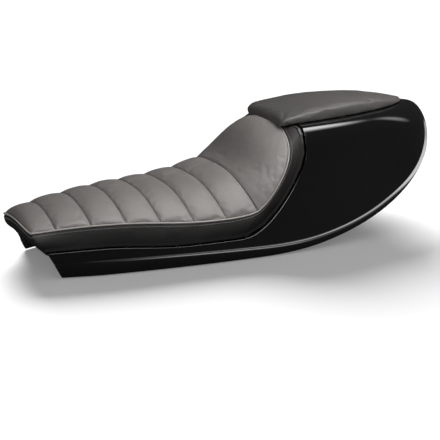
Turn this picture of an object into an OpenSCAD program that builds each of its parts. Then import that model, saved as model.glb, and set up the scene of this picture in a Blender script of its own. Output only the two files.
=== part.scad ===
// Cafe racer seat unit: a thin moulded shell with a sewn seat cushion and a tail pad.
// x runs from the nose (-) to the tail tip (+), y is across, z = 0 is the shell's flat lower edge.

/* [Shell outline] */
// whole length, cushion nose to tail tip
body_len = 700; // [640:5:780]
// widest width, across the shell's lower edges
body_w = 266; // [240:2:300]
// width across the lower edges at the front of the skirt
front_w = 158.6; // [140:2:190]
// distance from the cushion's nose back to the lower front corner of the skirt
skirt_setback = 45.5; // [35:0.5:60]
// how far the front edge of the skirt leans forward at deck height
skirt_rake = 18.5; // [5:0.5:20]
// x where the shell is widest and the tail curve begins
wide_x = 70; // [50:5:90]
// height of the lower edge at the tail tip
tail_lift = 175; // [150:1:182]
// wall of the moulding
shell_t = 3; // [2:0.5:4]
// height of the upright lip below the ledge, at the nose
lip_front_h = 22; // [16:1:26]
// height of the upright lip at the tail
lip_tail_h = 9.5; // [7:0.5:14]
// how far the lip leans outward at its lower edge
lip_flare = 5; // [3:0.5:7]

/* [Deck and cowl] */
// height of the deck under the nose
deck_front_z = 37; // [34:1:42]
// height of the deck under the rider
deck_rear_z = 28.5; // [27:0.5:32]
// height of the cowl's flat top
cowl_top_z = 179; // [170:1:184]
// x where the cowl's front edge leaves the deck
cowl_foot_x = -2; // [-12:1:8]
// x of the cowl's front edge at the top
cowl_edge_x = 95.5; // [88:0.5:104]

/* [Seat cushion] */
// x of the first cross seam, measured from the nose
first_seam = 43; // [38:1:50]
// distance between cross seams
seam_pitch = 50.8; // [46:0.2:53]
// number of padded channels between the first and the last cross seam
channels = 6; // [4:1:6]
// height of each sewn channel above its seams
channel_puff = 2.6; // [1:0.1:5]
// rise of the padded top above its side seam, at the nose
crown_front = 19; // [16:1:30]
// rise of the padded top above its side seam, at the last cross seam
crown_rear = 53; // [40:1:56]
// how far the side seam lies inside the shell's lower edge
seam_inset = 16; // [14:0.5:20]
// height of the side seam at the nose
seam_front_z = 67; // [62:1:74]
// height of the side seam at its lowest, under the rider
seam_low_z = 61; // [56:1:66]
// height of the hump's rear seam at its top
hump_top_z = 176.5; // [168:0.5:177]
// x of the hump's rear seam at its top
hump_top_x = 74.5; // [68:0.5:80]
// leather thickness
cover_t = 1.6; // [1.2:0.1:2]
// bead radius of the piping along the side seam
welt_r = 1.2; // [0.8:0.1:1.6]
// width of leather turned in under a base board
hem_w = 12; // [8:1:14]

/* [Tail pad] */
// x of the pad's front face
pad_front_x = 75; // [72:0.5:80]
// distance from the pad's rear tip to the tail tip
pad_tail_gap = 26; // [23:1:40]
// width of the pad at its front
pad_w = 124; // [110:1:128]
// height of the pad's front edge above the cowl
pad_front_h = 11; // [9:1:16]
// height of the pad's highest point above the cowl
pad_crest_h = 24.5; // [18:0.5:30]
// height of the pad at its rear tip above the cowl
pad_tip_h = 7; // [7:0.5:12]

/* [Boards and fixings] */
// thickness of the base boards
board_t = 4; // [3:0.5:6]
// gap that the rubber spacers keep between a board and the shell
board_gap = 3.2; // [3:0.1:4]
// radius of the fixing studs
stud_r = 3; // [2.5:0.5:4]
// thread radius of the frame bushes
bush_bore_r = 4; // [3:0.5:5]
// length of the frame bushes
bush_len = 14; // [10:1:18]
// half spacing of the front frame bushes across the seat
bush_front_y = 40; // [30:1:44]
// half spacing of the rear frame bushes across the seat
bush_rear_y = 62; // [50:1:75]

/* [Hidden] */
$fn = 48;
staple_t = 0.5;
staple_w = 1.2;
staple_l = 9;
staple_gap = 0.1;
half_l = body_len / 2;
nose_x = -half_l;
half_w = body_w / 2;
pad_len = half_l - pad_tail_gap - pad_front_x;
cut = 1;                                  // how far a cutter runs past a face
front_taper = 1.6;                        // powers that shape the outline in plan
tail_a = 1.5;
tail_b = 3.8;
pad_a = 2.1;
pad_b = 1.65;
skirt_x = nose_x + skirt_setback;
deck_front_x = skirt_x - skirt_rake;
nose_pow = 5;                             // power that squares the nose in plan
nose_round = 4;                           // how far the nose bows forward of its corners
cover_back_x = nose_x + nose_round + 3 * welt_r + 2;
seam1_x = nose_x + first_seam;
last_seam_x = seam1_x + channels * seam_pitch;
deck_ramp = [deck_front_x + 78, cowl_foot_x - 118]; // the deck steps down between these two x
nose_roll = 24;                           // length over which the nose rolls down to its seam
side_clear = 1;                           // between leather and shell, along the deck's edge
seat_lift = board_gap + board_t;          // underside of the seat foam above the deck
arch_w = edge_w(last_seam_x) - seam_inset; // half width at the foot of the hump's seam
arch_base_z = seam_low_z + 4;             // foot of the hump's rear seam
pad_gap = cover_t + staple_gap + staple_t;       // under the tail pad's board, over its hem and staples
pad_board_t = 2.5;
pad_lift = pad_gap + pad_board_t;
hole_clear = 0.4;
stud_head_r = 9;
stud_head_t = 1.5;
stud_tail = 3;                            // bare thread below a nut
spacer_wall = 3.5;
washer_r = 9;
washer_t = 1.6;
nut_af = 10;
nut_h = 5;
bush_r = bush_bore_r + 4;
bush_flange_r = bush_r + 5;
bush_flange_t = 2;

// rows of the seat cushion's grid
nose_rows = 4;
rows_per_channel = 5;
hump_rows = 14;
ribbed_rows = nose_rows + channels * rows_per_channel;
seat_rows = ribbed_rows + hump_rows;
cross = 6;                                // grid steps from the middle to one side
wall_steps = 2;

pad_rows = 14;
pad_cross = 4;

// places of the fixings
stud_in = [55, 85];                       // from the deck's front and from the cowl's foot
seat_stud_x = [deck_front_x + stud_in[0], cowl_foot_x - stud_in[1]];
seat_stud_y = 34;
pad_stud_share = [0.24, 0.64];            // shares of the pad's length
pad_stud_x = [for (s = pad_stud_share) pad_front_x + s * pad_len];
bush_in = [24, 44];                       // from the deck's front and from the cowl's foot
bush_places = [for (s = [-1, 1]) each [[deck_front_x + bush_in[0], s * bush_front_y],
                                       [cowl_foot_x - bush_in[1], s * bush_rear_y]]];

// small helpers
function mix(a, b, t) = a + (b - a) * t;
function clamp01(t) = min(1, max(0, t));
function ramp(x, a, b) = let (t = clamp01((x - a) / (b - a))) t * t * (3 - 2 * t);
function unit(v) = v / max(norm(v), 1e-9);
function flip_y(p) = [p[0], -p[1], p[2]];
function rev(a) = [for (i = [len(a) - 1 : -1 : 0]) a[i]];
function flat(a) = [for (r = a) for (p = r) p];
function bez(p, t) = pow(1 - t, 3) * p[0] + 3 * pow(1 - t, 2) * t * p[1]
                   + 3 * (1 - t) * t * t * p[2] + t * t * t * p[3];

// normal of a grid of points at row i, column j
function grid_n(g, i, j) =
    let (i0 = max(i - 1, 0), i1 = min(i + 1, len(g) - 1),
         j0 = max(j - 1, 0), j1 = min(j + 1, len(g[0]) - 1))
    unit(cross(g[i1][j] - g[i0][j], g[i][j1] - g[i][j0]));

// faces of nonzero area only: corners that fall on each other are left out
function apart(p, q) = norm(p - q) > 1e-6;
function sound(pts, fs) = [for (f = fs) if (apart(pts[f[0]], pts[f[1]]) && apart(pts[f[1]], pts[f[2]])
                                            && apart(pts[f[2]], pts[f[0]])) f];

// a closed solid from grids whose outward side is rows x columns, and fans of loose points
module patches(gs, fans = []) {
    base = [for (k = 0, n = 0; k < len(gs); n = n + len(gs[k]) * len(gs[k][0]), k = k + 1) n];
    used = len([for (g = gs) for (r = g) for (p = r) 1]);
    fan0 = [for (k = 0, n = used; k < len(fans); n = n + len(fans[k]), k = k + 1) n];
    pts = concat([for (g = gs) for (r = g) for (p = r) p], flat(fans));
    polyhedron(points = pts, faces = sound(pts, concat(
        [for (k = [0 : len(gs) - 1])
         let (c = len(gs[k][0]))
         for (i = [0 : len(gs[k]) - 2], j = [0 : c - 2], h = [0, 1])
         let (a = base[k] + i * c + j)
         h == 0 ? [a, a + 1, a + c + 1] : [a, a + c + 1, a + c]],
        [for (k = [0 : 1 : len(fans) - 1]) for (j = [1 : len(fans[k]) - 2])
         [fan0[k], fan0[k] + j, fan0[k] + j + 1]])));
}

// a closed solid swept through rings of points, each ring out along one side and back along the other;
// an end is closed straight across the ring, unless it folds flat there
module rings(r, closed_end = true) {
    n = len(r[0]);
    last = (len(r) - 1) * n;
    pts = flat(r);
    polyhedron(points = pts, faces = sound(pts, concat(
        [for (i = [0 : len(r) - 2], j = [0 : n - 1], h = [0, 1])
         let (a = i * n + j, b = i * n + (j + 1) % n)
         h == 0 ? [a, b, b + n] : [a, b + n, a + n]],
        [for (k = [0 : n / 2 - 2], h = [0, 1])
         h == 0 ? [k, n - 1 - k, n - 2 - k] : [k, n - 2 - k, k + 1]],
        closed_end ? [for (k = [0 : n / 2 - 2], h = [0, 1])
            let (a = last + k, b = last + n - 1 - k)
            h == 0 ? [a, b - 1, b] : [a, a + 1, b - 1]] : [])));
}

// edge of a grid: right side forward, across the front row, left side back
function edge_of(g) = let (n = len(g) - 1, m = len(g[0]) - 1) concat(
    [for (i = [n : -1 : 1]) g[i][m]], [for (j = [m : -1 : 0]) g[0][j]], [for (i = [1 : n]) g[i][0]]);

// shell outline
function edge_w(x) =
    x < wide_x ? half_w - (half_w - front_w / 2) * pow((wide_x - x) / (wide_x - skirt_x), front_taper)
               : half_w * pow(1 - pow((x - wide_x) / (half_l - wide_x), tail_a), 1 / tail_b);
// share of the way into the rounded tail end
tail_end = 115;                           // length of the rounded end
tail_fade = 0.65;                         // share of its height that the lip loses there
function end_share(x) = ramp(x, half_l - tail_end, half_l - tail_end / 8);
function edge_z(x) = tail_lift * (1 - sqrt(1 - pow(clamp01(x / half_l), 2)));
function lip_h(x) =
    mix(lip_front_h, lip_tail_h, ramp(x, nose_x, half_l)) * (1 - tail_fade * end_share(x));

// point of the lower edge at angle a (0 at the widest place, 90 at the tail tip)
function tail_pt(a) =
    [wide_x + (half_l - wide_x) * pow(sin(a), 2 / tail_a), half_w * pow(cos(a), 2 / tail_b)];
tail_step = 0.5;
function tail_dir(a) = let (p = tail_pt(max(a - tail_step, 0)), q = tail_pt(min(a + tail_step, 90)))
    unit([q[1] - p[1], p[0] - q[0]]);
function edge_dir(x) = unit([edge_w(x + 1) - edge_w(x - 1), -2]);

// slope of the lower edge where it rises round the tail
function edge_slope(x) = atan2(tail_lift * x / pow(half_l, 2), sqrt(max(1e-9, 1 - pow(x / half_l, 2))));

// crease between lip and side: p is the lower edge in plan, n its inward direction
function crease(p, n) =
    let (s = p[0] > 0 ? edge_slope(p[0]) : 0, b = s * (1 - ramp(s, 45, 90) / 2), h = lip_h(p[0]))
    [p[0] - h * sin(b) + lip_flare * n[0] * cos(s),
     p[1] > 0 ? p[1] + lip_flare * n[1] * cos(s) : 0,
     edge_z(p[0]) + h * cos(b) - lip_flare * sin(s) * cos(s)];

// plan of the tail pad, widened by m
function pad_half(x, m = 0) =
    (pad_w / 2 + m) * pow(1 - pow(clamp01((x - pad_front_x) / (pad_len + m)), pad_a), 1 / pad_b);

// edge of the cowl's flat top beside a lower-edge point; the flat top follows the pad
flat_margin = 4;
pad_end_x = pad_front_x + pad_len;
fan_x = cowl_edge_x + 24.5;               // behind this x the rows fan out round the tail
function flat_x(x) = x < fan_x ? x : mix(fan_x, pad_end_x + flat_margin, (x - fan_x) / (half_l - fan_x));
function flat_edge(x) = x < cowl_edge_x
    ? [x, pad_half(cowl_edge_x, flat_margin) * (edge_w(x) - lip_flare) / (edge_w(cowl_edge_x) - lip_flare),
       cowl_top_z]
    : [flat_x(x), pad_half(flat_x(x), flat_margin), cowl_top_z];

// side of the cowl from the flat top (0, 0) to the crease (1, 1): shoulder, then a hollow flank
shoulder = [[0, 0], [0.20, 0], [0.33, 0.07], [0.375, 0.25]];
flank = [[0.375, 0.25], [0.425, 0.45], [0.66, 0.74], [1, 1]];
// the same two curves at the rounded tail end, where the side is full
end_shoulder = [[0, 0], [0.30, 0.01], [0.53, 0.08], [0.70, 0.22]];
end_flank = [[0.70, 0.22], [0.87, 0.36], [0.98, 0.66], [1, 1]];
function on_side(q, c, s) = [mix(q[0], c[0], s[0]), mix(q[1], c[1], s[0]), mix(q[2], c[2], s[1])];

// place along the flank where it has dropped by the share d
function flank_at(d, lo = 0, hi = 1, k = 14) =
    k == 0 ? (lo + hi) / 2
           : let (m = (lo + hi) / 2)
             bez(flank, m)[1] < d ? flank_at(d, m, hi, k - 1) : flank_at(d, lo, m, k - 1);

// height of the deck, and the sweep of the cowl's front edge above it
function deck_z(x) = mix(deck_front_z, deck_rear_z, ramp(x, deck_ramp[0], deck_ramp[1]));
edge_c = crease([cowl_edge_x, edge_w(cowl_edge_x)], edge_dir(cowl_edge_x));
knee_z = mix(cowl_top_z, edge_c[2], flank[0][1]);
sweep = 1.5;
foot_ease = 20;                           // rounds the step from the deck into the curved back
ease_h = 9;                               // height over which that rounding fades
function front_edge_x(z) = cowl_edge_x
    - (cowl_edge_x - cowl_foot_x) * pow(clamp01((knee_z - z) / (knee_z - deck_rear_z)), sweep)
    - foot_ease * exp(-(z - deck_rear_z) / ease_h);

// pan line: the deck's middle line, going up the curved back to the knee
deck_steps = 12;
scoop_steps = 9;
scoop_x = cowl_foot_x - foot_ease;
deck_xs = [for (i = [0 : deck_steps]) mix(deck_front_x, scoop_x, i / deck_steps)];
scoop_top = 0.96;                         // share of the curved back's height at its last row
scoop_crowd = 1.4;                        // crowds the rows towards the deck
scoop_zs = [for (i = [1 : scoop_steps])
    mix(deck_rear_z, knee_z, scoop_top * pow(i / scoop_steps, scoop_crowd))];
pan_line = concat([for (x = deck_xs) [x, deck_z(x)]], [for (z = scoop_zs) [front_edge_x(z), z]]);

// half section at pan point p: from the corner at the deck's edge down to the lower edge
side_steps = 6;
rake_run = 80;                            // length over which the lean of the front edge fades
function plan_at(x) = [x, edge_w(x)];
function side_from(q, c, t0, f = flank) =
    [for (k = [0 : side_steps]) on_side(q, c, bez(f, mix(t0, 1, k / side_steps)))];
top_cols = 3;
shoulder_steps = 3;

// rows that show the deck or the curved back, corner to lower edge
function skirt_half(p) =
    let (x = p[0], e = plan_at(x), c = crease(e, edge_dir(x)), q = flat_edge(x),
         t0 = flank_at((cowl_top_z - p[1]) / (cowl_top_z - c[2])),
         s = side_from(q, c, t0),
         rake = skirt_rake * (1 - ramp(x, deck_front_x, deck_front_x + rake_run)))
    [for (v = concat(s, [[e[0], e[1], edge_z(x)]]))
     [v[0] + rake * clamp01((p[1] - v[2]) / p[1]), v[1], v[2]]];
function deck_row(p) =
    let (s = skirt_half(p), w = s[0][1], n = top_cols + shoulder_steps)
    concat([for (k = [0 : n - 1]) [p[0], w * k / n, p[1]]], s);

// rows of the cowl: flat top, shoulder, flank and lip
function cowl_row(e, n) =
    let (c = crease(e, n), q = flat_edge(e[0]), full = end_share(e[0]),
         s = mix(shoulder, end_shoulder, full), f = mix(flank, end_flank, full))
    concat([for (k = [0 : top_cols - 1]) [q[0], q[1] * k / top_cols, q[2]]],
           [for (k = [0 : shoulder_steps - 1]) on_side(q, c, bez(s, k / shoulder_steps))],
           side_from(q, c, 0, f), [[e[0], e[1], edge_z(e[0])]]);

tail_rows = 16;
tail_crowd = 1.5;                         // crowds the rows towards the tip
first_row = 12;                           // from the cowl's front edge to its second row
tail_start = asin(pow((cowl_edge_x + first_row - wide_x) / (half_l - wide_x), tail_a / 2));
function tail_angle(i) = 90 - (90 - tail_start) * pow(1 - i / tail_rows, tail_crowd);
arch_corner = cowl_row(plan_at(cowl_edge_x), edge_dir(cowl_edge_x));
shell_half = concat(
    [for (p = pan_line) deck_row(p)], [arch_corner],
    [for (i = [0 : tail_rows]) let (a = tail_angle(i)) cowl_row(tail_pt(a), tail_dir(a))]);

// the moulding's outer skin, from the right lower edge over the top to the left one
function whole(row) = concat([for (k = [len(row) - 1 : -1 : 1]) flip_y(row[k])], row);
skin = [for (r = shell_half) whole(r)];

// inner skin: one wall inside; the lower edges stay level with the outer ones
function inner_pt(g, i, j) =
    let (n = grid_n(g, min(i, len(g) - 2), j), p = g[i][j],
         q = p - shell_t * n)
    [min(q[0], half_l), abs(p[1]) < 1e-6 ? 0 : q[1], max(q[2], 0)];

module shell_wall() {
    rings([for (i = [0 : len(skin) - 1])
           concat(skin[i], [for (j = [len(skin[0]) - 1 : -1 : 0]) inner_pt(skin, i, j)])],
          closed_end = false);
}

// seat cushion
// side seam in front of the hump: it falls, with a slight swell behind the nose, then rises to the hump
seam_fall = [nose_x + 135, cowl_foot_x - 68];
seam_swell = [nose_x, nose_x + 105, cowl_foot_x - 98];
seam_swell_h = 4;
seam_turn_x = cowl_foot_x - 43;
function seam_z(x) = mix(seam_front_z, seam_low_z, ramp(x, seam_fall[0], seam_fall[1]))
    + seam_swell_h * sin(90 * ramp(x, seam_swell[0], seam_swell[1]))
                   * (1 - ramp(x, seam_swell[1], seam_swell[2]))
    + (arch_base_z - seam_low_z) * ramp(x, seam_turn_x, last_seam_x);
function seam_w(x) = edge_w(x) - seam_inset;

// rear seam of the hump: an arch that leans back, a = 0 at its foot, 90 at its top
arch_pow = 2.5;
arch_lean = 1.5;
arch_h = hump_top_z - arch_base_z;
function arch_pt(a) =
    let (w = arch_w * pow(cos(a), 2 / arch_pow), r = pow(sin(a), 2 / arch_pow))
    [hump_top_x - (hump_top_x - last_seam_x) * pow(1 - r, arch_lean), w, arch_base_z + arch_h * r];

// middle line of the hump, from the last cross seam up to the top
seam_bow = 17;                            // how far the last cross seam bows forward in its middle
hump_foot_z = arch_base_z + crown_rear;
hump_run = [14, 28];                      // the curve's two handles, behind the last cross seam
hump_swell = 4;                           // and above its ends
hump_line = [[last_seam_x - seam_bow, 0, hump_foot_z],
             [last_seam_x + hump_run[0], 0, hump_foot_z + hump_swell],
             [last_seam_x + hump_run[1], 0, hump_top_z + hump_swell], [hump_top_x, 0, hump_top_z]];

// rows of the cushion: [side point, middle point, power of the crown, nose bow]
crown_pow = [2, 2.9, 2.2];                // section's fullness at the nose, the last cross seam and the top
crown_pow_x = [nose_x + 70, cowl_foot_x - 58];
crown_grow = 1.2;
front_arch = 0.55;                        // share of the crown that the front seam keeps
nose_bow = 2;
bow_grow = 1.5;
function along_seat(x, from) = clamp01((x - from) / (last_seam_x - from));
function crown(x) = mix(crown_front, crown_rear, pow(along_seat(x, nose_x), crown_grow))
    * mix(front_arch, 1, sqrt(1 - pow(1 - clamp01((x - cover_back_x) / nose_roll), 2)));
function bow(x) = mix(nose_bow, seam_bow, pow(along_seat(x, seam1_x), bow_grow));
function flat_row(x) =
    [[x, seam_w(x), seam_z(x)], [x - bow(x), 0, seam_z(x) + crown(x)],
     mix(crown_pow[0], crown_pow[1], ramp(x, crown_pow_x[0], crown_pow_x[1])),
     nose_round * (1 - ramp(x, cover_back_x, seam1_x))];
// the hump's last row stays just short of the arch's top, so that it keeps some width
arch_last = 89.5;
hump_last = 0.99;
hump_crowd = 0.9;
function hump_row(f) =
    [arch_pt(arch_last * f), bez(hump_line, hump_last * f), mix(crown_pow[1], crown_pow[2], f), 0];

seat_xs = concat([for (i = [0 : nose_rows - 1]) mix(cover_back_x, seam1_x, i / nose_rows)],
                 [for (i = [0 : channels * rows_per_channel]) seam1_x + i * seam_pitch / rows_per_channel]);
rows = concat([for (x = seat_xs) flat_row(x)],
              [for (i = [1 : hump_rows]) hump_row(pow(i / hump_rows, hump_crowd))]);

vs = [for (j = [-cross : cross]) sin(90 * j / cross)];
function top_pt(r, v) = let (k = 1 - pow(abs(v), r[2]))
    [mix(r[0][0], r[1][0], k) - r[3] * (1 - pow(abs(v), nose_pow)), r[0][1] * v, mix(r[0][2], r[1][2], k)];
seat_top = [for (r = rows) [for (v = vs) top_pt(r, v)]];

// share of the full puff at a row: nothing on a seam, most between two
nose_puff = 0.5;
function puff(i) = i <= nose_rows ? sin(90 * (1 - i / nose_rows)) * nose_puff
                                  : sin(180 * ((i - nose_rows) % rows_per_channel) / rows_per_channel);

// foot of the cushion's wall, m above the pan and s inside the corner
foot_over = 1;                            // how far the foot reaches in front of the deck
foot_narrow = 0.3;                        // and how much it narrows there, for each mm
function corner(p) = skirt_half(p)[0];
function foot_deck(x, m, s) = let (held = max(x, deck_front_x), c = corner([held, deck_z(x)]))
    [x, c[1] - s - (held - x) * foot_narrow, deck_z(x) + m];
function scoop_n(z) = unit([-1, (front_edge_x(z + 1) - front_edge_x(z - 1)) / 2]);
function foot_scoop(z, m, s) = let (n = scoop_n(z), c = corner([front_edge_x(z), z]))
    [front_edge_x(z) + n[0] * m, c[1] - s, z + n[1] * m];
// round the cowl's front edge: t = 0 at the knee, 1 at the middle of the top
hub_z = knee_z - 40;                      // the foot is drawn in towards this height
arch_pull = 0.35;
arch_half_gap = 0.6;
function foot_arch(t, m, s) =
    let (q = flat_edge(cowl_edge_x), p = t < 0.5 ? on_side(q, edge_c, bez(shoulder, 1 - t * 2))
                                                 : [q[0], q[1] * (2 - t * 2), q[2]],
         d = unit([0, -p[1], hub_z - p[2]]))
    [cowl_edge_x - m, max(arch_half_gap, p[1] - s * max(arch_pull, abs(d[1]))), p[2] - s * abs(d[2])];

scoop_share = 0.43;                       // share of the hump's rows whose foot lies on the curved back
foot_crowd = 1.2;
function foot_hump(f, m, s) = f < scoop_share
    ? foot_scoop(mix(deck_rear_z, knee_z, pow(f / scoop_share, foot_crowd)), m, s)
    : foot_arch((f - scoop_share) / (1 - scoop_share), m, s);
foot_xs = [for (x = seat_xs) mix(deck_front_x - foot_over, scoop_x, along_seat(x, cover_back_x))];
function foot(i, m, s) = i <= ribbed_rows ? foot_deck(foot_xs[i], m, s)
                                          : foot_hump((i - ribbed_rows) / hump_rows, m, s);
foot_bow = 0.5;                           // the foot bows forward less than the nose
function foot_row(i, m, s) = let (p = foot(i, m, s))
    [for (v = vs) [p[0] - (i == 0 ? foot_bow * (1 - pow(abs(v), nose_pow)) : 0), p[1] * v, p[2]]];
function foot_grid(m) = [for (i = [0 : seat_rows]) foot_row(i, m, side_clear + cover_t)];

// cushions: foam, board and cover built on a top grid and a foot grid
wall_bulge = 0.06;                        // swell of the leather wall, as a share of its height
function wall_dir(top, low, q) =
    let (a = max(q - 1, 0), b = min(q + 1, len(top) - 1))
    unit(cross(low[q] - top[q], top[b] + low[b] - top[a] - low[a]));
function wall_pt(top, low, q, k) = let (t = k / wall_steps)
    mix(top[q], low[q], t) + wall_dir(top, low, q) * norm(top[q] - low[q]) * wall_bulge * 4 * t * (1 - t);

// sides of a foot grid joined straight across, and its front row as one flat face
function across(g) = [for (r = g) [r[len(r) - 1], r[0]]];

module foam_block(top, low) {
    t = edge_of(top);
    w = edge_of(low);
    n = len(t) - 1;
    last = len(top) - 1;
    patches([[for (j = [len(top[0]) - 1 : -1 : 0]) [for (r = top) r[j]]],
             [for (k = [0 : wall_steps]) [for (q = [0 : n]) wall_pt(t, w, q, k)]], across(low)],
            [rev(low[0]), concat(top[last], [for (k = [1 : wall_steps]) wall_pt(t, w, 0, k)],
                            [for (k = [wall_steps : -1 : 1]) wall_pt(t, w, n, k)])]);
}

module board_plate(high, low) {
    h = edge_of(high);
    w = edge_of(low);
    last = len(high) - 1;
    m = len(high[0]) - 1;
    patches([[for (r = high) [r[0], r[m]]], [h, w], across(low)],
            [rev(low[0]), high[0], [low[last][m], low[last][0], high[last][0], high[last][m]]]);
}

// leather round the wall: down from the seam, past the board's edge and in under it
seam_lap = 0.5;
// it turns straight across under the deck and the curved back, and square to the edge elsewhere
function turn_in(t, w, b, q) =
    let (n = wall_dir(t, w, q), m = unit(w[q] - b[q]), side = (len(t) - 1) / 2 - cross,
         on_flank = q < side || q > side + 2 * cross)
    on_flank && m[2] > 0.01 ? [0, -sign(b[q][1]), 0] : unit(m * (n * m) - n);
function band_ring(t, w, b, q) =
    let (n = wall_dir(t, w, q), m = unit(w[q] - b[q]), h = turn_in(t, w, b, q), low = b[q] - m * cover_t)
    concat([for (k = [0 : wall_steps]) wall_pt(t, w, q, k) + n * (k == 0 ? seam_lap : cover_t)],
           [low + n * cover_t, low + h * hem_w, b[q] + h * hem_w, b[q]],
           [for (k = [wall_steps : -1 : 0]) wall_pt(t, w, q, k)]);
module band(top, low, base) {
    t = edge_of(top);
    w = edge_of(low);
    b = edge_of(base);
    rings([for (q = [len(t) - 1 : -1 : 0]) band_ring(t, w, b, q)]);
}

// leather on rows a to b of a top grid, lift(i, j) thick
module panel(top, lift, a, b) {
    rings([for (i = [a : b])
           concat([for (j = [0 : len(top[0]) - 1]) top[i][j] + grid_n(top, i, j) * lift[i][j]],
                  rev(top[i]))]);
}
function lift_of(n, m, h) = [for (i = [0 : n]) [for (j = [0 : 2 * m])
    i == 0 || i == n || j == 0 || j == 2 * m ? seam_lap : cover_t + h[i]]];

// piping bead laid in the seam between panel and wall
welt_sides = 6;
module welt(top, low) {
    t = edge_of(top);
    w = edge_of(low);
    up = edge_of([for (i = [0 : len(top) - 1]) [for (j = [0 : len(top[0]) - 1]) grid_n(top, i, j)]]);
    rings([for (q = [len(t) - 1 : -1 : 0])
           let (n = unit(wall_dir(t, w, q) + up[q]),
                along = unit(t[min(q + 1, len(t) - 1)] - t[max(q - 1, 0)]),
                side = cross(along, n), c = t[q] + n * 2 * welt_r)
           [for (a = [0 : 360 / welt_sides : 359]) c + welt_r * (n * cos(a) + side * sin(a))]]);
}

// staples across the turned-in leather, one every few steps of the edge
module staples(top, low, base, from, step) {
    t = edge_of(top);
    w = edge_of(low);
    b = edge_of(base);
    for (q = [from : step : len(t) - 1 - from]) {
        x = turn_in(t, w, b, q);
        z = unit(w[q] - b[q]);
        y = unit(cross(z, x));
        o = b[q] + x * (hem_w - staple_l) / 2 - z * (cover_t + staple_gap + staple_t);
        multmatrix([[x[0], y[0], z[0], o[0]], [x[1], y[1], z[1], o[1]], [x[2], y[2], z[2], o[2]]])
            translate([0, -staple_w / 2, 0]) cube([staple_l, staple_w, staple_t]);
    }
}

seat_low = foot_grid(seat_lift);
seat_base = foot_grid(board_gap);
seat_lifts = lift_of(seat_rows, cross,
                     [for (i = [0 : seat_rows]) i <= ribbed_rows ? channel_puff * puff(i) : 0]);
staple_from = 6;                          // first edge step with a staple, and steps from each to the next
staple_step = 4;

module seat_foam() {
    color("khaki") foam_block(seat_top, seat_low);
}
module seat_board() {
    color("dimgray") board_plate(seat_low, seat_base);
}
module side_band() {
    color("#2b2623") band(seat_top, seat_low, seat_base);
}
module ribbed_panel() {
    color("gray") panel(seat_top, seat_lifts, 0, ribbed_rows);
}
module hump_panel() {
    color("gray") panel(seat_top, seat_lifts, ribbed_rows, seat_rows);
}

module seat_welt() {
    color("#3a3532") welt(seat_top, seat_low);
}
module seat_staples() {
    color("silver") staples(seat_top, seat_low, seat_base, staple_from, staple_step);
}

// tail pad
pad_high = 0.4;                           // share of its length where the pad is highest
pad_fall = 2.2;                           // power of its fall to the rear tip
function pad_h(x) = let (s = clamp01((x - pad_front_x) / pad_len))
    s < pad_high ? mix(pad_front_h, pad_crest_h, sin(90 * s / pad_high))
                 : mix(pad_crest_h, pad_tip_h, pow((s - pad_high) / (1 - pad_high), pad_fall));
pad_last = 86;                            // the last row stays just short of the tip at 90
pad_xs = [for (i = [0 : pad_rows])
    pad_front_x + cover_t + (pad_len - 2 * cover_t) * pow(sin(pad_last * i / pad_rows), 2 / pad_a)];
pad_vs = [for (j = [-pad_cross : pad_cross]) sin(90 * j / pad_cross)];
pad_edge = 0.42;                          // height of the side edge as a share of the pad's height
pad_section = 3.5;                        // power of its section
pad_ease = 8;                             // half width below which the cover's thickness tapers out
foam_least = 1;
function pad_y(x) = pad_half(x) - cover_t * min(1, pad_half(x) / pad_ease);
function pad_z(x, v) = max(pad_lift + cover_t + foam_least,
                           pad_h(x) * (1 - (1 - pad_edge) * pow(abs(v), pad_section)));
pad_top = [for (x = pad_xs) [for (v = pad_vs) [x, pad_y(x) * v, cowl_top_z - cover_t + pad_z(x, v)]]];
function level(g, z) = [for (r = g) [for (p = r) [p[0], p[1], z]]];
pad_low = level(pad_top, cowl_top_z + pad_lift);
pad_base = level(pad_top, cowl_top_z + pad_gap);

// closed edge of a grid, and directions along a closed wall
function loop_of(g) = let (n = len(g) - 1, m = len(g[0]) - 1)
    concat(edge_of(g), [for (j = [1 : m - 1]) g[n][j]]);
function loop_dir(t, w, q) = let (n = len(t), a = (q + n - 1) % n, b = (q + 1) % n)
    unit(cross(w[q] - t[q] - [0, 0, 1], w[b] - w[a]));
function closed(a) = concat(a, [a[0]]);
fan_from = pad_rows / 2;                  // a fan starts on the pad's long side

pad_hem_w = 8;
pad_hem_share = 0.6;                      // most of the pad's half width that the hem takes
brow_rise = 0.8;
function pad_hem(p) = min(pad_hem_w, abs(p[1]) * pad_hem_share + cover_t);
module pad_cover() {
    t = loop_of(pad_top);
    w = loop_of(pad_low);
    b = loop_of(pad_base);
    n = len(t);
    m = len(pad_top[0]) - 1;
    up = [0, 0, 1];
    out = [for (q = [0 : n - 1]) loop_dir(t, w, q)];
    brow = [for (q = [0 : n - 1]) t[q] + cover_t * (out[q] + up * brow_rise)];
    last = pad_rows;
    skin_top = [for (i = [0 : last]) [for (j = [0 : m])
        i == 0 ? brow[last + m - j]
        : j == m ? brow[last - i]
        : j == 0 ? brow[last + m + i]
        : i == last ? brow[2 * last + m + j]
        : pad_top[i][j] + cover_t * grid_n(pad_top, i, j)]];
    color("#262220") patches([
        [for (j = [m : -1 : 0]) [for (r = skin_top) r[j]]],
        [for (row = [brow,
                     [for (q = [0 : n - 1]) w[q] + out[q] * cover_t],
                     [for (q = [0 : n - 1]) b[q] + (out[q] - up) * cover_t],
                     [for (q = [0 : n - 1]) b[q] - out[q] * pad_hem(b[q]) - up * cover_t],
                     [for (q = [0 : n - 1]) b[q] - out[q] * pad_hem(b[q])],
                     b, w, t]) closed(row)],
        rev(pad_top)]);
}
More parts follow.
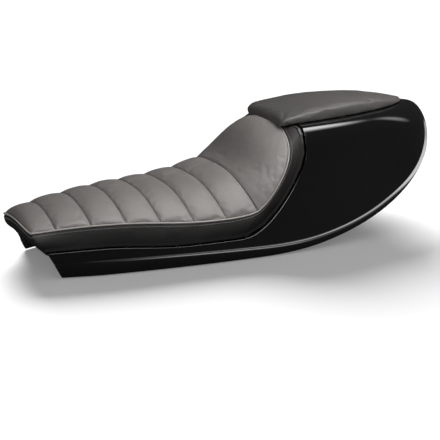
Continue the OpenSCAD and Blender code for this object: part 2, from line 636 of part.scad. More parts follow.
module pad_foam() {
    t = loop_of(pad_top);
    w = loop_of(pad_low);
    m = len(pad_top[0]) - 1;
    color("khaki") patches([[for (j = [m : -1 : 0]) [for (r = pad_top) r[j]]], [closed(t), closed(w)]],
                           [[for (k = [0 : len(w) - 1]) w[(k + fan_from) % len(w)]]]);
}
module pad_board() {
    color("dimgray") translate([0, 0, cowl_top_z + pad_gap]) linear_extrude(pad_board_t)
        polygon([for (p = loop_of(pad_base)) [p[0], p[1]]]);
}
pad_staple_rows = [1 : 3 : pad_rows - 4];
module pad_staples() {
    color("silver") for (x = [for (i = pad_staple_rows) pad_xs[i]], s = [-1, 1])
        translate([x - staple_l / 2, s * (pad_y(x) - pad_hem_w / 2) - staple_w / 2, cowl_top_z])
            cube([staple_l, staple_w, staple_t]);
}

// fixings
module at_seat_studs() {
    for (x = seat_stud_x, s = [-1, 1]) translate([x, s * seat_stud_y, deck_z(x)]) children();
}
module at_pad_studs() {
    for (x = pad_stud_x) translate([x, 0, cowl_top_z]) children();
}
// each fixing stands on the shell's outer face, z = 0, under a board at z = gap
module stud(gap) {
    translate([0, 0, gap - stud_head_t]) cylinder(r = stud_head_r, h = stud_head_t);
    reach = shell_t + washer_t + nut_h + stud_tail;
    translate([0, 0, -reach]) cylinder(r = stud_r, h = reach + gap - stud_head_t);
}
module spacer(gap) {
    difference() {
        cylinder(r = stud_head_r + hole_clear + spacer_wall, h = gap);
        translate([0, 0, -cut]) cylinder(r = stud_head_r + hole_clear, h = gap + 2 * cut);
    }
}
module washer() {
    translate([0, 0, -shell_t - washer_t]) difference() {
        cylinder(r = washer_r, h = washer_t);
        translate([0, 0, -cut]) cylinder(r = stud_r + hole_clear, h = washer_t + 2 * cut);
    }
}
module nut() {
    translate([0, 0, -shell_t - washer_t - nut_h]) difference() {
        cylinder(d = nut_af / cos(30), h = nut_h, $fn = 6);
        translate([0, 0, -cut]) cylinder(r = stud_r, h = nut_h + 2 * cut);
    }
}
module stud_hole() {
    translate([0, 0, -shell_t - cut]) cylinder(r = stud_r + hole_clear, h = shell_t + 2 * cut);
}

module seat_studs() {
    color("silver") at_seat_studs() stud(board_gap);
}
module seat_spacers() {
    color("black") at_seat_studs() spacer(board_gap);
}
module seat_washers() {
    color("silver") at_seat_studs() washer();
}
module seat_nuts() {
    color("silver") at_seat_studs() nut();
}
module pad_studs() {
    color("silver") at_pad_studs() stud(pad_gap);
}
module pad_spacers() {
    color("black") at_pad_studs() spacer(pad_gap);
}
module pad_washers() {
    color("silver") at_pad_studs() washer();
}
module pad_nuts() {
    color("silver") at_pad_studs() nut();
}

// threaded bushes bonded under the deck, where the unit bolts down to a frame
module frame_bushes() {
    color("silver") for (p = bush_places) translate([p[0], p[1], deck_z(p[0]) - shell_t]) difference() {
        union() {
            translate([0, 0, -bush_flange_t]) cylinder(r = bush_flange_r, h = bush_flange_t);
            translate([0, 0, -bush_len]) cylinder(r = bush_r, h = bush_len);
        }
        translate([0, 0, -bush_len - cut]) cylinder(r = bush_bore_r, h = bush_len + 2 * cut);
    }
}

module shell() {
    color("black") difference() {
        shell_wall();
        at_seat_studs() stud_hole();
        at_pad_studs() stud_hole();
    }
}

shell();
frame_bushes();
seat_board();
seat_foam();
ribbed_panel();
hump_panel();
side_band();
seat_welt();
seat_staples();
seat_spacers();
seat_studs();
seat_washers();
seat_nuts();
pad_board();
pad_foam();
pad_cover();
pad_staples();
pad_spacers();
pad_studs();
pad_washers();
pad_nuts();
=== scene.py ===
"""A cafe racer seat unit: gloss moulded shell, sewn seat cushion and tail pad, in a pale studio.

Sizes are in millimetres in the part's own frame, and become metres where a mesh is made.
"""

import math

import bmesh
import bpy
import numpy as np
from mathutils import Matrix, Vector, noise


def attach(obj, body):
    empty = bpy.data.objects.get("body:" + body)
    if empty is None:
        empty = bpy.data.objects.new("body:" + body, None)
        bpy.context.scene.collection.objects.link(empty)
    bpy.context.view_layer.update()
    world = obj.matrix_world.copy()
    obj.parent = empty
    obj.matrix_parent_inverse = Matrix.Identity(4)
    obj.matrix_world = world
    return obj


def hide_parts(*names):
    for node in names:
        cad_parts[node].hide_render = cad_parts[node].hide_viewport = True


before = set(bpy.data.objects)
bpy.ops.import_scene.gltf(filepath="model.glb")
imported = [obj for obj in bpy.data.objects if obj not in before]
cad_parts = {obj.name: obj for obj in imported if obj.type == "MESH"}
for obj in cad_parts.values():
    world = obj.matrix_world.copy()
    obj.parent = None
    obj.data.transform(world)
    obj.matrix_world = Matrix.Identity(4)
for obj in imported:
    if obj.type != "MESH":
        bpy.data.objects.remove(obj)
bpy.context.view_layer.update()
MM = 0.001

# Colours of leather, piping and thread, in linear light
# The top's colour is painted light: it is the same black leather as the side band, made much lighter as if lit
# from above
TOP_PAINTED_LIGHT_COLOR = (0.158, 0.147, 0.139)
TOP_ROUGH = 0.50
# The side band's colour is painted shade: the same leather as the top, made much darker as if facing away from
# the light
SIDE_PAINTED_SHADE_COLOR = (0.0125, 0.0108, 0.0102)
PAD_COLOR = (0.068, 0.064, 0.061)
# The piping's light colour is a painted highlight along the rounded welt
PIPING_PAINTED_HIGHLIGHT_COLOR = (0.32, 0.300, 0.285)
THREAD_COLOR = (0.012, 0.011, 0.010)
TOPSTITCH_COLOR = (0.20, 0.185, 0.175)

# Studio, in metres: the floor, the fill, the lamp behind, and the black cards round the mirror finish
FLOOR_Z = -0.001
FLOOR_COLOR = (0.62, 0.62, 0.62)
FLOOR_GLOW = 0.16
WORLD_FILL = 0.35
FLAG_GRAY = 0.03
FLOOR_LIGHT_FROM = (0.25, 0.82, 0.51)
FLOOR_LIGHT_SPREAD = 30
FLOOR_LIGHT = 8.0
FLOOR_HALF = 9.0
FLAG_REACH = 3.2
FLAG_FOOT = -0.002
FLAG_TOP = 3.0
FLAG_TABLE_LIFT = 0.0005

# Camera solved on the photo: metres, degrees, and millimetres of lens and film
CAMERA_TARGET = (-0.0175, -0.0191, 0.0300)
CAMERA_BEARING = -28
CAMERA_RISE = 17.603
CAMERA_DISTANCE = 2.24639
CAMERA_LENS = 118.36
CAMERA_FILM = 36

# Tail pad: outline, gap over the cowl with the board's thickness, and its cloth
PAD_EDGE = 0.74
PAD_SECTION = 2.6
PAD_MIN_H = 6.5
PAD_CORNER = 8
PAD_FRONT_ROWS = (0, 0.5, 1.3, 2.6, 4.4, 6.6, 9.2)
PAD_NOSE_OUT = 6
PAD_NOSE_DROP = 4.5
PAD_GAP = 2.2
PAD_BOARD_T = 2.5
PAD_LIFT = PAD_GAP + PAD_BOARD_T
PAD_PRESSURE = 4.0
PAD_GROWTH = 0.003
PAD_SWELL_CAP = 1.2
# Its side, ring by ring: how far out, and what share of the way down
PAD_SIDE_RINGS = ((1.1, 0.035), (2.2, 0.13), (3.0, 0.30), (3.5, 0.50), (3.5, 0.70), (3.1, 0.88),
                  (2.2, 0.97), (-2.5, 1.0), (-6.5, 1.0), (-8.0, 1.0), (-8.0, 0.93))

# Foam of the cushion: inside the band by so much, from near the nose to short of the hump's top
FOAM_INSET = 6
FOAM_START_U = 0.012
FOAM_END_U = 1.9

# Fixings
STUD_R = 3
STUD_HEAD_R = 9
STUD_TAIL = 3
WASHER_R = 9
WASHER_T = 1.6
NUT_AF = 10
NUT_H = 5
BUSH_BORE_R = 4
BUSH_LEN = 14

# Shell outline
BODY_LEN = 700
BODY_W = 266
FRONT_W = 158.6
SKIRT_SETBACK = 45.5
SKIRT_RAKE = 18.5
WIDE_X = 70
TAIL_LIFT = 175
SHELL_T = 3
LIP_FRONT_H = 22
LIP_TAIL_H = 9.5
LIP_FLARE = 5
FRONT_TAPER = 1.6
TAIL_A = 1.5
TAIL_B = 3.8
TAIL_END = 115
TAIL_FADE = 0.65

# Deck and cowl
DECK_FRONT_Z = 37
DECK_REAR_Z = 28.5
DECK_RAMP = (-245, -120)
COWL_TOP_Z = 179
COWL_FOOT_X = -2
COWL_EDGE_X = 95.5
SWEEP = 1.5
FOOT_EASE = 20
FLAT_MARGIN = 4
FAN_X = 120
SHOULDER = ((0, 0), (0.20, 0), (0.33, 0.07), (0.375, 0.25))
FLANK = ((0.375, 0.25), (0.425, 0.45), (0.66, 0.74), (1, 1))
END_SHOULDER = ((0, 0), (0.30, 0.01), (0.53, 0.08), (0.70, 0.22))
END_FLANK = ((0.70, 0.22), (0.87, 0.36), (0.98, 0.66), (1, 1))

# Seat cushion
FIRST_SEAM = 43
SEAM_PITCH = 50.8
CHANNELS = 6
CHANNEL_PUFF = 3.0
CROWN_FRONT = 19
FRONT_ARCH = 0.55
CROWN_REAR = 53
SEAM_INSET = 16
SEAM_FRONT_Z = 67
SEAM_LOW_Z = 61
HUMP_TOP_Z = 176.5
HUMP_TOP_X = 74.5
COVER_T = 1.6
WELT_R = 1.2
NOSE_ROUND = 4
NOSE_POW = 5
NOSE_ROLL = 24
SEAM_BOW = 17
ARCH_POW = 2.5
ARCH_LAST = 89.5
SCOOP_SHARE = 0.43
SIDE_CLEAR = 1
WALL_BULGE = 0.06
NOSE_BULGE = 0.12
BOARD_GAP = 3.2
BOARD_T = 4
HEM_W = 12

# Tail pad
PAD_FRONT_X = 75
PAD_LEN = 249
PAD_W = 124
PAD_FRONT_H = 14
PAD_CREST_H = 24.5
PAD_TIP_H = 7
PAD_A = 2.1
PAD_B = 1.65
PAD_HIGH = 0.4

# Worked out from the values above
HALF_L = BODY_LEN / 2
HALF_W = BODY_W / 2
NOSE_X = -HALF_L
SKIRT_X = NOSE_X + SKIRT_SETBACK
DECK_FRONT_X = SKIRT_X - SKIRT_RAKE
COVER_BACK_X = NOSE_X + NOSE_ROUND + 3 * WELT_R + 2
SEAM1_X = NOSE_X + FIRST_SEAM
LAST_SEAM_X = SEAM1_X + CHANNELS * SEAM_PITCH
SCOOP_X = COWL_FOOT_X - FOOT_EASE
ARCH_BASE_Z = SEAM_LOW_Z + 4
PAD_END_X = PAD_FRONT_X + PAD_LEN


# Small helpers
def mix(a, b, t):
    return a + (b - a) * t


def clamp01(t):
    return min(1.0, max(0.0, t))


def ramp(x, a, b):
    t = clamp01((x - a) / (b - a))
    return t * t * (3 - 2 * t)


def sind(a):
    return math.sin(math.radians(a))


def cosd(a):
    return math.cos(math.radians(a))


def unit(v):
    v = np.asarray(v, float)
    return v / max(float(np.linalg.norm(v)), 1e-9)


def bez(p, t):
    p = np.asarray(p, float)
    return (
        (1 - t) ** 3 * p[0]
        + 3 * (1 - t) ** 2 * t * p[1]
        + 3 * (1 - t) * t * t * p[2]
        + t**3 * p[3]
    )


# Shell outline
def edge_w(x):
    if x < WIDE_X:
        narrow = ((WIDE_X - x) / (WIDE_X - SKIRT_X)) ** FRONT_TAPER
        return HALF_W - (HALF_W - FRONT_W / 2) * narrow
    return HALF_W * (1 - clamp01((x - WIDE_X) / (HALF_L - WIDE_X)) ** TAIL_A) ** (1 / TAIL_B)


def end_share(x):
    return ramp(x, HALF_L - TAIL_END, HALF_L - TAIL_END / 8)


def edge_z(x):
    return TAIL_LIFT * (1 - math.sqrt(max(0.0, 1 - clamp01(x / HALF_L) ** 2)))


def lip_h(x):
    return mix(LIP_FRONT_H, LIP_TAIL_H, ramp(x, NOSE_X, HALF_L)) * (1 - TAIL_FADE * end_share(x))


def tail_pt(a):
    return np.array(
        [WIDE_X + (HALF_L - WIDE_X) * sind(a) ** (2 / TAIL_A), HALF_W * max(cosd(a), 0.0) ** (2 / TAIL_B)]
    )


def tail_dir(a, step=0.5):
    p, q = tail_pt(max(a - step, 0)), tail_pt(min(a + step, 90))
    return unit([q[1] - p[1], p[0] - q[0]])


def edge_dir(x):
    return unit([edge_w(x + 1) - edge_w(x - 1), -2])


def edge_slope(x):
    run = math.sqrt(max(1e-9, 1 - (x / HALF_L) ** 2))
    return math.degrees(math.atan2(TAIL_LIFT * x / HALF_L**2, run))


def crease(p, n):
    """Corner between the upright lip and the side, over the lower-edge point p with inward direction n."""
    s = edge_slope(p[0]) if p[0] > 0 else 0
    b = s * (1 - ramp(s, 45, 90) / 2)
    h = lip_h(p[0])
    y = p[1] + LIP_FLARE * n[1] * cosd(s) if p[1] > 1e-6 else 0
    return np.array(
        [
            p[0] - h * sind(b) + LIP_FLARE * n[0] * cosd(s),
            y,
            edge_z(p[0]) + h * cosd(b) - LIP_FLARE * sind(s) * cosd(s),
        ]
    )


def pad_half(x, more=0):
    share = clamp01((x - PAD_FRONT_X) / (PAD_LEN + more))
    return (PAD_W / 2 + more) * (1 - share**PAD_A) ** (1 / PAD_B)


def flat_edge(x):
    """Side of the cowl's flat top beside the lower-edge point at x; it follows the pad's outline."""
    if x < COWL_EDGE_X:
        share = (edge_w(x) - LIP_FLARE) / (edge_w(COWL_EDGE_X) - LIP_FLARE)
        return np.array([x, pad_half(COWL_EDGE_X, FLAT_MARGIN) * share, COWL_TOP_Z])
    fx = x if x < FAN_X else mix(FAN_X, PAD_END_X + FLAT_MARGIN, (x - FAN_X) / (HALF_L - FAN_X))
    return np.array([fx, pad_half(fx, FLAT_MARGIN), COWL_TOP_Z])


def on_side(q, c, s):
    return np.array([mix(q[0], c[0], s[0]), mix(q[1], c[1], s[0]), mix(q[2], c[2], s[1])])


def flank_at(drop):
    lo, hi = 0.0, 1.0
    for _ in range(20):
        mid = (lo + hi) / 2
        if bez(FLANK, mid)[1] < drop:
            lo = mid
        else:
            hi = mid
    return (lo + hi) / 2


EDGE_C = crease([COWL_EDGE_X, edge_w(COWL_EDGE_X)], edge_dir(COWL_EDGE_X))
KNEE_Z = mix(COWL_TOP_Z, EDGE_C[2], FLANK[0][1])


def deck_z(x):
    return mix(DECK_FRONT_Z, DECK_REAR_Z, ramp(x, *DECK_RAMP))


def front_edge_x(z):
    lean = clamp01((KNEE_Z - z) / (KNEE_Z - DECK_REAR_Z)) ** SWEEP
    return COWL_EDGE_X - (COWL_EDGE_X - COWL_FOOT_X) * lean - FOOT_EASE * math.exp(-(z - DECK_REAR_Z) / 9)


def flank_stops(t0):
    """Places along the flank, close together at both ends so that the smoothed corners stay tight."""
    return [mix(t0, 1, t) for t in (0, 0.035, 0.12, 0.24, 0.37, 0.5, 0.63, 0.75, 0.86, 0.94, 0.982)] + [1]


TOP_STOPS = (0, 0.28, 0.55, 0.8, 0.95)
SHOULDER_STOPS = (0, 0.25, 0.45, 0.65, 0.82, 0.94)
LIP_STOPS = (0.05, 0.14, 0.28, 0.48, 0.76, 1)
LEDGE_POW = 3
LEDGE_POW_TAIL = 2.4


def side_row(q, c, e, t0, rake, curve):
    """Flank and lip from the corner down to the lower edge."""
    pts = [on_side(q, c, bez(curve, t)) for t in flank_stops(t0)]
    low = np.array([e[0], e[1], edge_z(e[0])])
    foot = pts[-1]
    sharp = mix(LEDGE_POW, LEDGE_POW_TAIL, ramp(e[0], 0, HALF_L - 50))
    for t in LIP_STOPS:
        reach = 1 - (1 - t) ** sharp
        x, y = mix(foot[0], low[0], reach), mix(foot[1], low[1], reach)
        pts.append(np.array([x, y, mix(foot[2], low[2], t)]))
    top = pts[0][2]
    return [p + np.array([rake * clamp01((top - p[2]) / top), 0, 0]) for p in pts]


def deck_row(p):
    """Row that shows the deck or the curved back, from the middle out to the corner and down."""
    x, z = p
    e = (x, edge_w(x))
    c = crease(e, edge_dir(x))
    q = flat_edge(x)
    rake = SKIRT_RAKE * (1 - ramp(x, DECK_FRONT_X, DECK_FRONT_X + 80))
    side = side_row(q, c, e, flank_at((COWL_TOP_Z - z) / (COWL_TOP_Z - c[2])), rake, FLANK)
    w = side[0][1]
    stops = [w * k / 11 for k in range(10)] + [w - 4]
    return [np.array([x, y, z]) for y in stops] + side


def cowl_row(e, n):
    """Row of the cowl: flat top, shoulder, flank and lip."""
    c, q, full = crease(e, n), flat_edge(e[0]), end_share(e[0])
    shoulder = mix(np.array(SHOULDER), np.array(END_SHOULDER), full)
    flank = mix(np.array(FLANK), np.array(END_FLANK), full)
    top = [np.array([q[0], q[1] * t, q[2]]) for t in TOP_STOPS]
    top += [on_side(q, c, bez(shoulder, t)) for t in SHOULDER_STOPS]
    return top + side_row(q, c, e, 0, 0, flank)


def inset_row(row, x, inset):
    """The cowl's front row drawn in towards the middle on its top and shoulder, at place x."""
    n_top = len(TOP_STOPS) + len(SHOULDER_STOPS)
    hub = np.array([0.0, KNEE_Z - 40])
    pts = []
    for k, p in enumerate(row):
        if k < n_top:
            d = unit(hub - p[1:])
            y = max(0.0, p[1] + d[0] * inset) if k else 0.0
            pts.append(np.array([x, y, p[2] + d[1] * inset]))
        else:
            pts.append(p.copy())
    return pts


def shell_rows():
    """Control rows of the outer skin's right half, from the front of the deck to the tail tip."""
    deck_xs = [DECK_FRONT_X + d for d in (0, 3)]
    deck_xs += [mix(DECK_FRONT_X + 12, SCOOP_X, i / 11) for i in range(12)]
    rows = [deck_row((x, deck_z(x))) for x in deck_xs]
    for t in (0.05, 0.13, 0.23, 0.34, 0.46, 0.58, 0.70, 0.81, 0.90, 0.96):
        z = mix(DECK_REAR_Z, KNEE_Z, t)
        rows.append(deck_row((front_edge_x(z), z)))
    first = cowl_row((COWL_EDGE_X, edge_w(COWL_EDGE_X)), edge_dir(COWL_EDGE_X))
    rows.append(inset_row(first, COWL_EDGE_X, 4.5))
    rows.append(inset_row(first, COWL_EDGE_X, 1.2))
    rows.append(first)
    for dx in (1.5, 5):
        x = COWL_EDGE_X + dx
        rows.append(cowl_row((x, edge_w(x)), edge_dir(x)))
    start = math.degrees(math.asin(((COWL_EDGE_X + 14 - WIDE_X) / (HALF_L - WIDE_X)) ** (TAIL_A / 2)))
    count = 24
    for i in range(count + 1):
        a = 90 - (90 - start) * (1 - i / count) ** 1.5
        rows.append(cowl_row(tail_pt(a), tail_dir(a)))
    return rows


def grid_normals(g):
    """Normals of a grid of points, rows by columns."""
    du = np.gradient(g, axis=0)
    dv = np.gradient(g, axis=1)
    n = np.cross(du, dv)
    return n / np.maximum(np.linalg.norm(n, axis=2, keepdims=True), 1e-9)


# Making meshes
def mesh_from(name, verts, faces, marks=()):
    """A new object from points in millimetres; points that coincide are joined. Marks are material slots."""
    mesh = bpy.data.meshes.new(name)
    mesh.from_pydata([tuple(float(c) * MM for c in v) for v in verts], [], [tuple(f) for f in faces])
    for polygon, mark in zip(mesh.polygons, marks):
        polygon.material_index = mark
    obj = bpy.data.objects.new(name, mesh)
    bpy.context.scene.collection.objects.link(obj)
    bm = bmesh.new()
    bm.from_mesh(mesh)
    bmesh.ops.remove_doubles(bm, verts=bm.verts, dist=1e-6)
    bmesh.ops.dissolve_degenerate(bm, edges=bm.edges, dist=1e-7)
    bmesh.ops.recalc_face_normals(bm, faces=bm.faces)
    for f in bm.faces:
        f.smooth = True
    bm.to_mesh(mesh)
    bm.free()
    return obj


def grid_faces(rows, cols, wrap=False, base=0):
    last = cols if wrap else cols - 1
    return [
        (
            base + i * cols + j,
            base + i * cols + (j + 1) % cols,
            base + (i + 1) * cols + (j + 1) % cols,
            base + (i + 1) * cols + j,
        )
        for i in range(rows - 1)
        for j in range(last)
    ]


def grid_object(name, g):
    g = np.asarray(g, float)
    return mesh_from(name, g.reshape(-1, 3), grid_faces(g.shape[0], g.shape[1]))


def add_modifier(obj, kind, **values):
    m = obj.modifiers.new(kind.title(), kind)
    for key, value in values.items():
        setattr(m, key, value)
    return m


def apply_modifiers(obj):
    """Turns the object's modifiers into plain mesh."""
    depsgraph = bpy.context.evaluated_depsgraph_get()
    mesh = bpy.data.meshes.new_from_object(obj.evaluated_get(depsgraph))
    obj.modifiers.clear()
    obj.data = mesh
    for polygon in obj.data.polygons:
        polygon.use_smooth = True
    return obj


def finish_piece(obj, slot, *nodes):
    """Rides the piece on the unit and hides the built nodes it stands for."""
    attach(obj, "root")
    if nodes:
        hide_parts(*nodes)
    return obj


# Materials
class Shader:
    """A node tree with short calls for the nodes that the materials share."""

    def __init__(self, name, color, roughness, **sockets):
        self.material = bpy.data.materials.new(name)
        self.material.use_nodes = True
        self.material.diffuse_color = (*color, 1)
        self.tree = self.material.node_tree
        self.bsdf = self.tree.nodes["Principled BSDF"]
        self.bsdf.inputs["Base Color"].default_value = (*color, 1)
        self.bsdf.inputs["Roughness"].default_value = roughness
        for key, value in sockets.items():
            self.bsdf.inputs[key.replace("_", " ")].default_value = value
        self.place = self.node("ShaderNodeTexCoord").outputs["Object"]
        self.height = None

    def node(self, kind, **values):
        n = self.tree.nodes.new(kind)
        for key, value in values.items():
            setattr(n, key, value)
        return n

    def link(self, a, b):
        self.tree.links.new(a, b)

    def noise(self, scale, detail=4.0, roughness=0.55, stretch=None):
        n = self.node("ShaderNodeTexNoise")
        n.inputs["Scale"].default_value = scale
        n.inputs["Detail"].default_value = detail
        n.inputs["Roughness"].default_value = roughness
        source = self.place
        if stretch:
            mapping = self.node("ShaderNodeMapping")
            mapping.inputs["Scale"].default_value = stretch
            self.link(source, mapping.inputs["Vector"])
            source = mapping.outputs["Vector"]
        self.link(source, n.inputs["Vector"])
        return n.outputs["Fac"]

    def cells(self, scale, feature="DISTANCE_TO_EDGE"):
        n = self.node("ShaderNodeTexVoronoi", feature=feature)
        n.inputs["Scale"].default_value = scale
        self.link(self.place, n.inputs["Vector"])
        return n.outputs["Distance"]

    def ramp(self, value, low, high, out_low=0.0, out_high=1.0):
        n = self.node("ShaderNodeMapRange", clamp=True)
        for key, number in (("From Min", low), ("From Max", high), ("To Min", out_low), ("To Max", out_high)):
            n.inputs[key].default_value = number
        self.link(value, n.inputs["Value"])
        return n.outputs["Result"]

    def math(self, operation, a, b):
        n = self.node("ShaderNodeMath", operation=operation)
        for socket, value in zip(n.inputs, (a, b)):
            if isinstance(value, (int, float)):
                socket.default_value = value
            else:
                self.link(value, socket)
        return n.outputs[0]

    def color_between(self, value, a, b):
        n = self.node("ShaderNodeMix", data_type="RGBA")
        n.inputs["A"].default_value = (*a, 1)
        n.inputs["B"].default_value = (*b, 1)
        self.link(value, n.inputs["Factor"])
        self.link(n.outputs["Result"], self.bsdf.inputs["Base Color"])
        return n.outputs["Result"]

    def roughness_from(self, value, low, high):
        self.link(self.ramp(value, 0, 1, low, high), self.bsdf.inputs["Roughness"])

    def bump(self, height, distance, strength=1.0):
        n = self.node("ShaderNodeBump")
        n.inputs["Strength"].default_value = strength
        n.inputs["Distance"].default_value = distance
        self.link(height, n.inputs["Height"])
        if self.height is not None:
            self.link(self.height, n.inputs["Normal"])
        self.height = n.outputs["Normal"]
        self.link(self.height, self.bsdf.inputs["Normal"])


def shade(color, factor):
    return tuple(min(1.0, c * factor) for c in color)


def leather(name, color, roughness, grain=0.00018, gloss=0.5):
    """Grained leatherette: small pebbles with soft valleys, faint blotches and a broken sheen."""
    s = Shader(name, color, roughness, Specular_IOR_Level=gloss)
    pebbles = s.ramp(s.cells(620), 0.0, 0.32)
    fine = s.noise(1500, 2.0)
    blotch = s.noise(14, 5.0)
    tone = s.math("ADD", s.math("MULTIPLY", blotch, 0.7), s.math("MULTIPLY", pebbles, 0.3))
    s.color_between(tone, shade(color, 0.78), shade(color, 1.22))
    s.roughness_from(s.math("ADD", s.math("MULTIPLY", s.noise(60, 6.0), 0.6), s.math("MULTIPLY", pebbles, 0.4)),
                     roughness + 0.08, roughness - 0.07)
    s.bump(s.noise(45, 4.0), 0.0003, 0.4)
    s.bump(pebbles, grain, 0.7)
    s.bump(fine, 0.00004, 0.5)
    return s.material


def gloss_black():
    """Polished black gel coat with faint orange peel and hairline polishing marks."""
    s = Shader("gloss_black", (0.006, 0.006, 0.0065), 0.10,
               Coat_Weight=0.35, Coat_Roughness=0.05, Coat_IOR=1.5)
    s.roughness_from(s.noise(9, 6.0), 0.07, 0.12)
    s.bump(s.noise(130, 2.0), 0.00002, 0.35)
    return s.material


def raw_laminate():
    """Inner face of the moulding: black resin over chopped strands."""
    s = Shader("raw_laminate", (0.018, 0.018, 0.019), 0.45)
    strands = s.noise(95, 3.0, stretch=(1, 7, 3))
    crossed = s.noise(95, 3.0, stretch=(7, 1, 3))
    mat = s.math("MAXIMUM", strands, crossed)
    s.color_between(s.ramp(mat, 0.35, 0.75), (0.010, 0.010, 0.011), (0.035, 0.034, 0.033))
    s.roughness_from(s.noise(30, 4.0), 0.32, 0.6)
    s.bump(mat, 0.0009, 0.8)
    return s.material


def thread_material(name, color):
    s = Shader(name, color, 0.62, Sheen_Weight=0.3)
    twist = s.noise(2600, 1.0)
    s.color_between(twist, shade(color, 0.6), shade(color, 1.5))
    s.bump(twist, 0.00006, 0.8)
    return s.material


def zinc():
    s = Shader("zinc_plate", (0.60, 0.60, 0.58), 0.34, Metallic=1.0)
    grain = s.noise(420, 5.0)
    s.color_between(s.noise(25, 5.0), (0.48, 0.48, 0.47), (0.68, 0.68, 0.65))
    s.roughness_from(grain, 0.26, 0.46)
    s.bump(grain, 0.00003, 0.5)
    return s.material


def foam_material():
    s = Shader("open_cell_foam", (0.75, 0.68, 0.42), 0.95)
    pores = s.cells(500, "F1")
    s.color_between(pores, (0.80, 0.73, 0.47), (0.60, 0.52, 0.30))
    s.bump(pores, 0.0006, 0.8)
    return s.material


def plain_dark(name, color, roughness, scale):
    s = Shader(name, color, roughness)
    speckle = s.noise(scale, 4.0)
    s.color_between(speckle, shade(color, 0.7), shade(color, 1.4))
    s.roughness_from(speckle, roughness - 0.08, roughness + 0.1)
    s.bump(speckle, 0.0001, 0.6)
    return s.material


# Shell
def make_shell():
    half = shell_rows()
    rows = [[p * np.array([1, -1, 1]) for p in r[:0:-1]] + list(r) for r in half]
    outer = np.array(rows)
    n = grid_normals(outer)
    n[-1] = n[-2]
    inner = outer - n * SHELL_T
    inner[:, :, 0] = np.minimum(inner[:, :, 0], HALF_L)
    inner[:, :, 2] = np.maximum(inner[:, :, 2], 0)
    inner[-1, :, 1] = 0
    mid = outer.shape[1] // 2
    inner[:, mid, 1] = 0
    ring = np.concatenate([outer, inner[:, ::-1]], axis=1)
    cols = ring.shape[1]
    faces = grid_faces(ring.shape[0], cols, wrap=True)
    m = outer.shape[1]
    faces += [(k, k + 1, cols - 2 - k, cols - 1 - k) for k in range(m - 1)]
    inside = [1 if f[0] % cols >= m and f[1] % cols >= m else 0 for f in faces]
    obj = mesh_from("shell_body", ring.reshape(-1, 3), faces, inside)
    obj.data.materials.append(gloss_black())
    obj.data.materials.append(raw_laminate())
    add_modifier(obj, "SUBSURF", levels=2, render_levels=2)
    apply_modifiers(obj)
    return finish_piece(obj, "gloss_shell", "shell")


# Seat cushion
def seam_z(x):
    return (
        mix(SEAM_FRONT_Z, SEAM_LOW_Z, ramp(x, -215, -70))
        + 4 * sind(90 * ramp(x, NOSE_X, -245)) * (1 - ramp(x, -245, -100))
        + (ARCH_BASE_Z - SEAM_LOW_Z) * ramp(x, -45, LAST_SEAM_X)
    )


def seam_w(x):
    return edge_w(x) - SEAM_INSET


def arch_pt(a):
    w = (edge_w(LAST_SEAM_X) - SEAM_INSET) * cosd(a) ** (2 / ARCH_POW)
    r = sind(a) ** (2 / ARCH_POW)
    lean = (HUMP_TOP_X - LAST_SEAM_X) * (1 - r) ** 1.5
    return np.array([HUMP_TOP_X - lean, w, ARCH_BASE_Z + (HUMP_TOP_Z - ARCH_BASE_Z) * r])


HUMP_FOOT_Z = ARCH_BASE_Z + CROWN_REAR
HUMP_LINE = (
    (LAST_SEAM_X - SEAM_BOW, 0, HUMP_FOOT_Z),
    (LAST_SEAM_X + 14, 0, HUMP_FOOT_Z + 4),
    (LAST_SEAM_X + 28, 0, HUMP_TOP_Z + 4),
    (HUMP_TOP_X, 0, HUMP_TOP_Z),
)


def crown(x):
    rise = mix(CROWN_FRONT, CROWN_REAR, clamp01((x - NOSE_X) / (LAST_SEAM_X - NOSE_X)) ** 1.2)
    ahead = 1 - clamp01((x - COVER_BACK_X) / NOSE_ROLL)
    return rise * mix(FRONT_ARCH, 1, math.sqrt(max(0.0, 1 - ahead ** 2)))


def bow(x):
    return 2 + (SEAM_BOW - 2) * clamp01((x - SEAM1_X) / (LAST_SEAM_X - SEAM1_X)) ** 1.5


def raw_side(u):
    """Side seam before it is smoothed where the flat part turns up into the hump."""
    if u <= 1:
        x = mix(COVER_BACK_X, LAST_SEAM_X, u)
        return np.array([x, seam_w(x), seam_z(x)])
    return arch_pt(mix(0, ARCH_LAST, (u - 1) ** 0.9))


class SideLine:
    """The side seam as one smooth line, looked up by row."""

    def __init__(self, samples=800, sigma=11.0):
        self.us = np.linspace(0, 2, samples + 1)
        raw = np.array([raw_side(u) for u in self.us])
        run = np.concatenate([[0], np.cumsum(np.linalg.norm(raw[1:] - raw[:-1], axis=1))])
        self.points = raw.copy()
        for i, here in enumerate(run):
            soft = sigma * min(1.0, here / (3 * sigma), (run[-1] - here) / (3 * sigma))
            if soft > 0.2:
                weight = np.exp(-(((run - here) / soft) ** 2) / 2) * np.gradient(run)
                self.points[i] = (raw * weight[:, None]).sum(0) / weight.sum()

    def at(self, u):
        return np.array([np.interp(u, self.us, self.points[:, k]) for k in range(3)])


SIDE_LINE = SideLine()


def seat_row(u):
    """Row of the cushion's top: side point, middle point, power of the crown and bow of the nose.

    u runs from 0 at the nose to 1 at the last cross seam, and on to 2 at the top of the hump.
    """
    side = SIDE_LINE.at(u)
    if u <= 1:
        x = mix(COVER_BACK_X, LAST_SEAM_X, u)
        middle = np.array([x - bow(x), 0, seam_z(x) + crown(x)])
        return side, middle, mix(2, 2.9, ramp(x, -280, -60)), NOSE_ROUND * (1 - ramp(x, COVER_BACK_X, SEAM1_X))
    f = (u - 1) ** 0.9
    return side, bez(HUMP_LINE, mix(0, 0.99, f)), mix(2.9, 2.2, f), 0


def seat_points(u, vs):
    side, middle, power, nose = seat_row(u)
    k = 1 - np.abs(vs) ** power
    x = mix(side[0], middle[0], k) - nose * (1 - np.abs(vs) ** NOSE_POW)
    return np.stack([x, side[1] * vs, mix(side[2], middle[2], k)], axis=1)


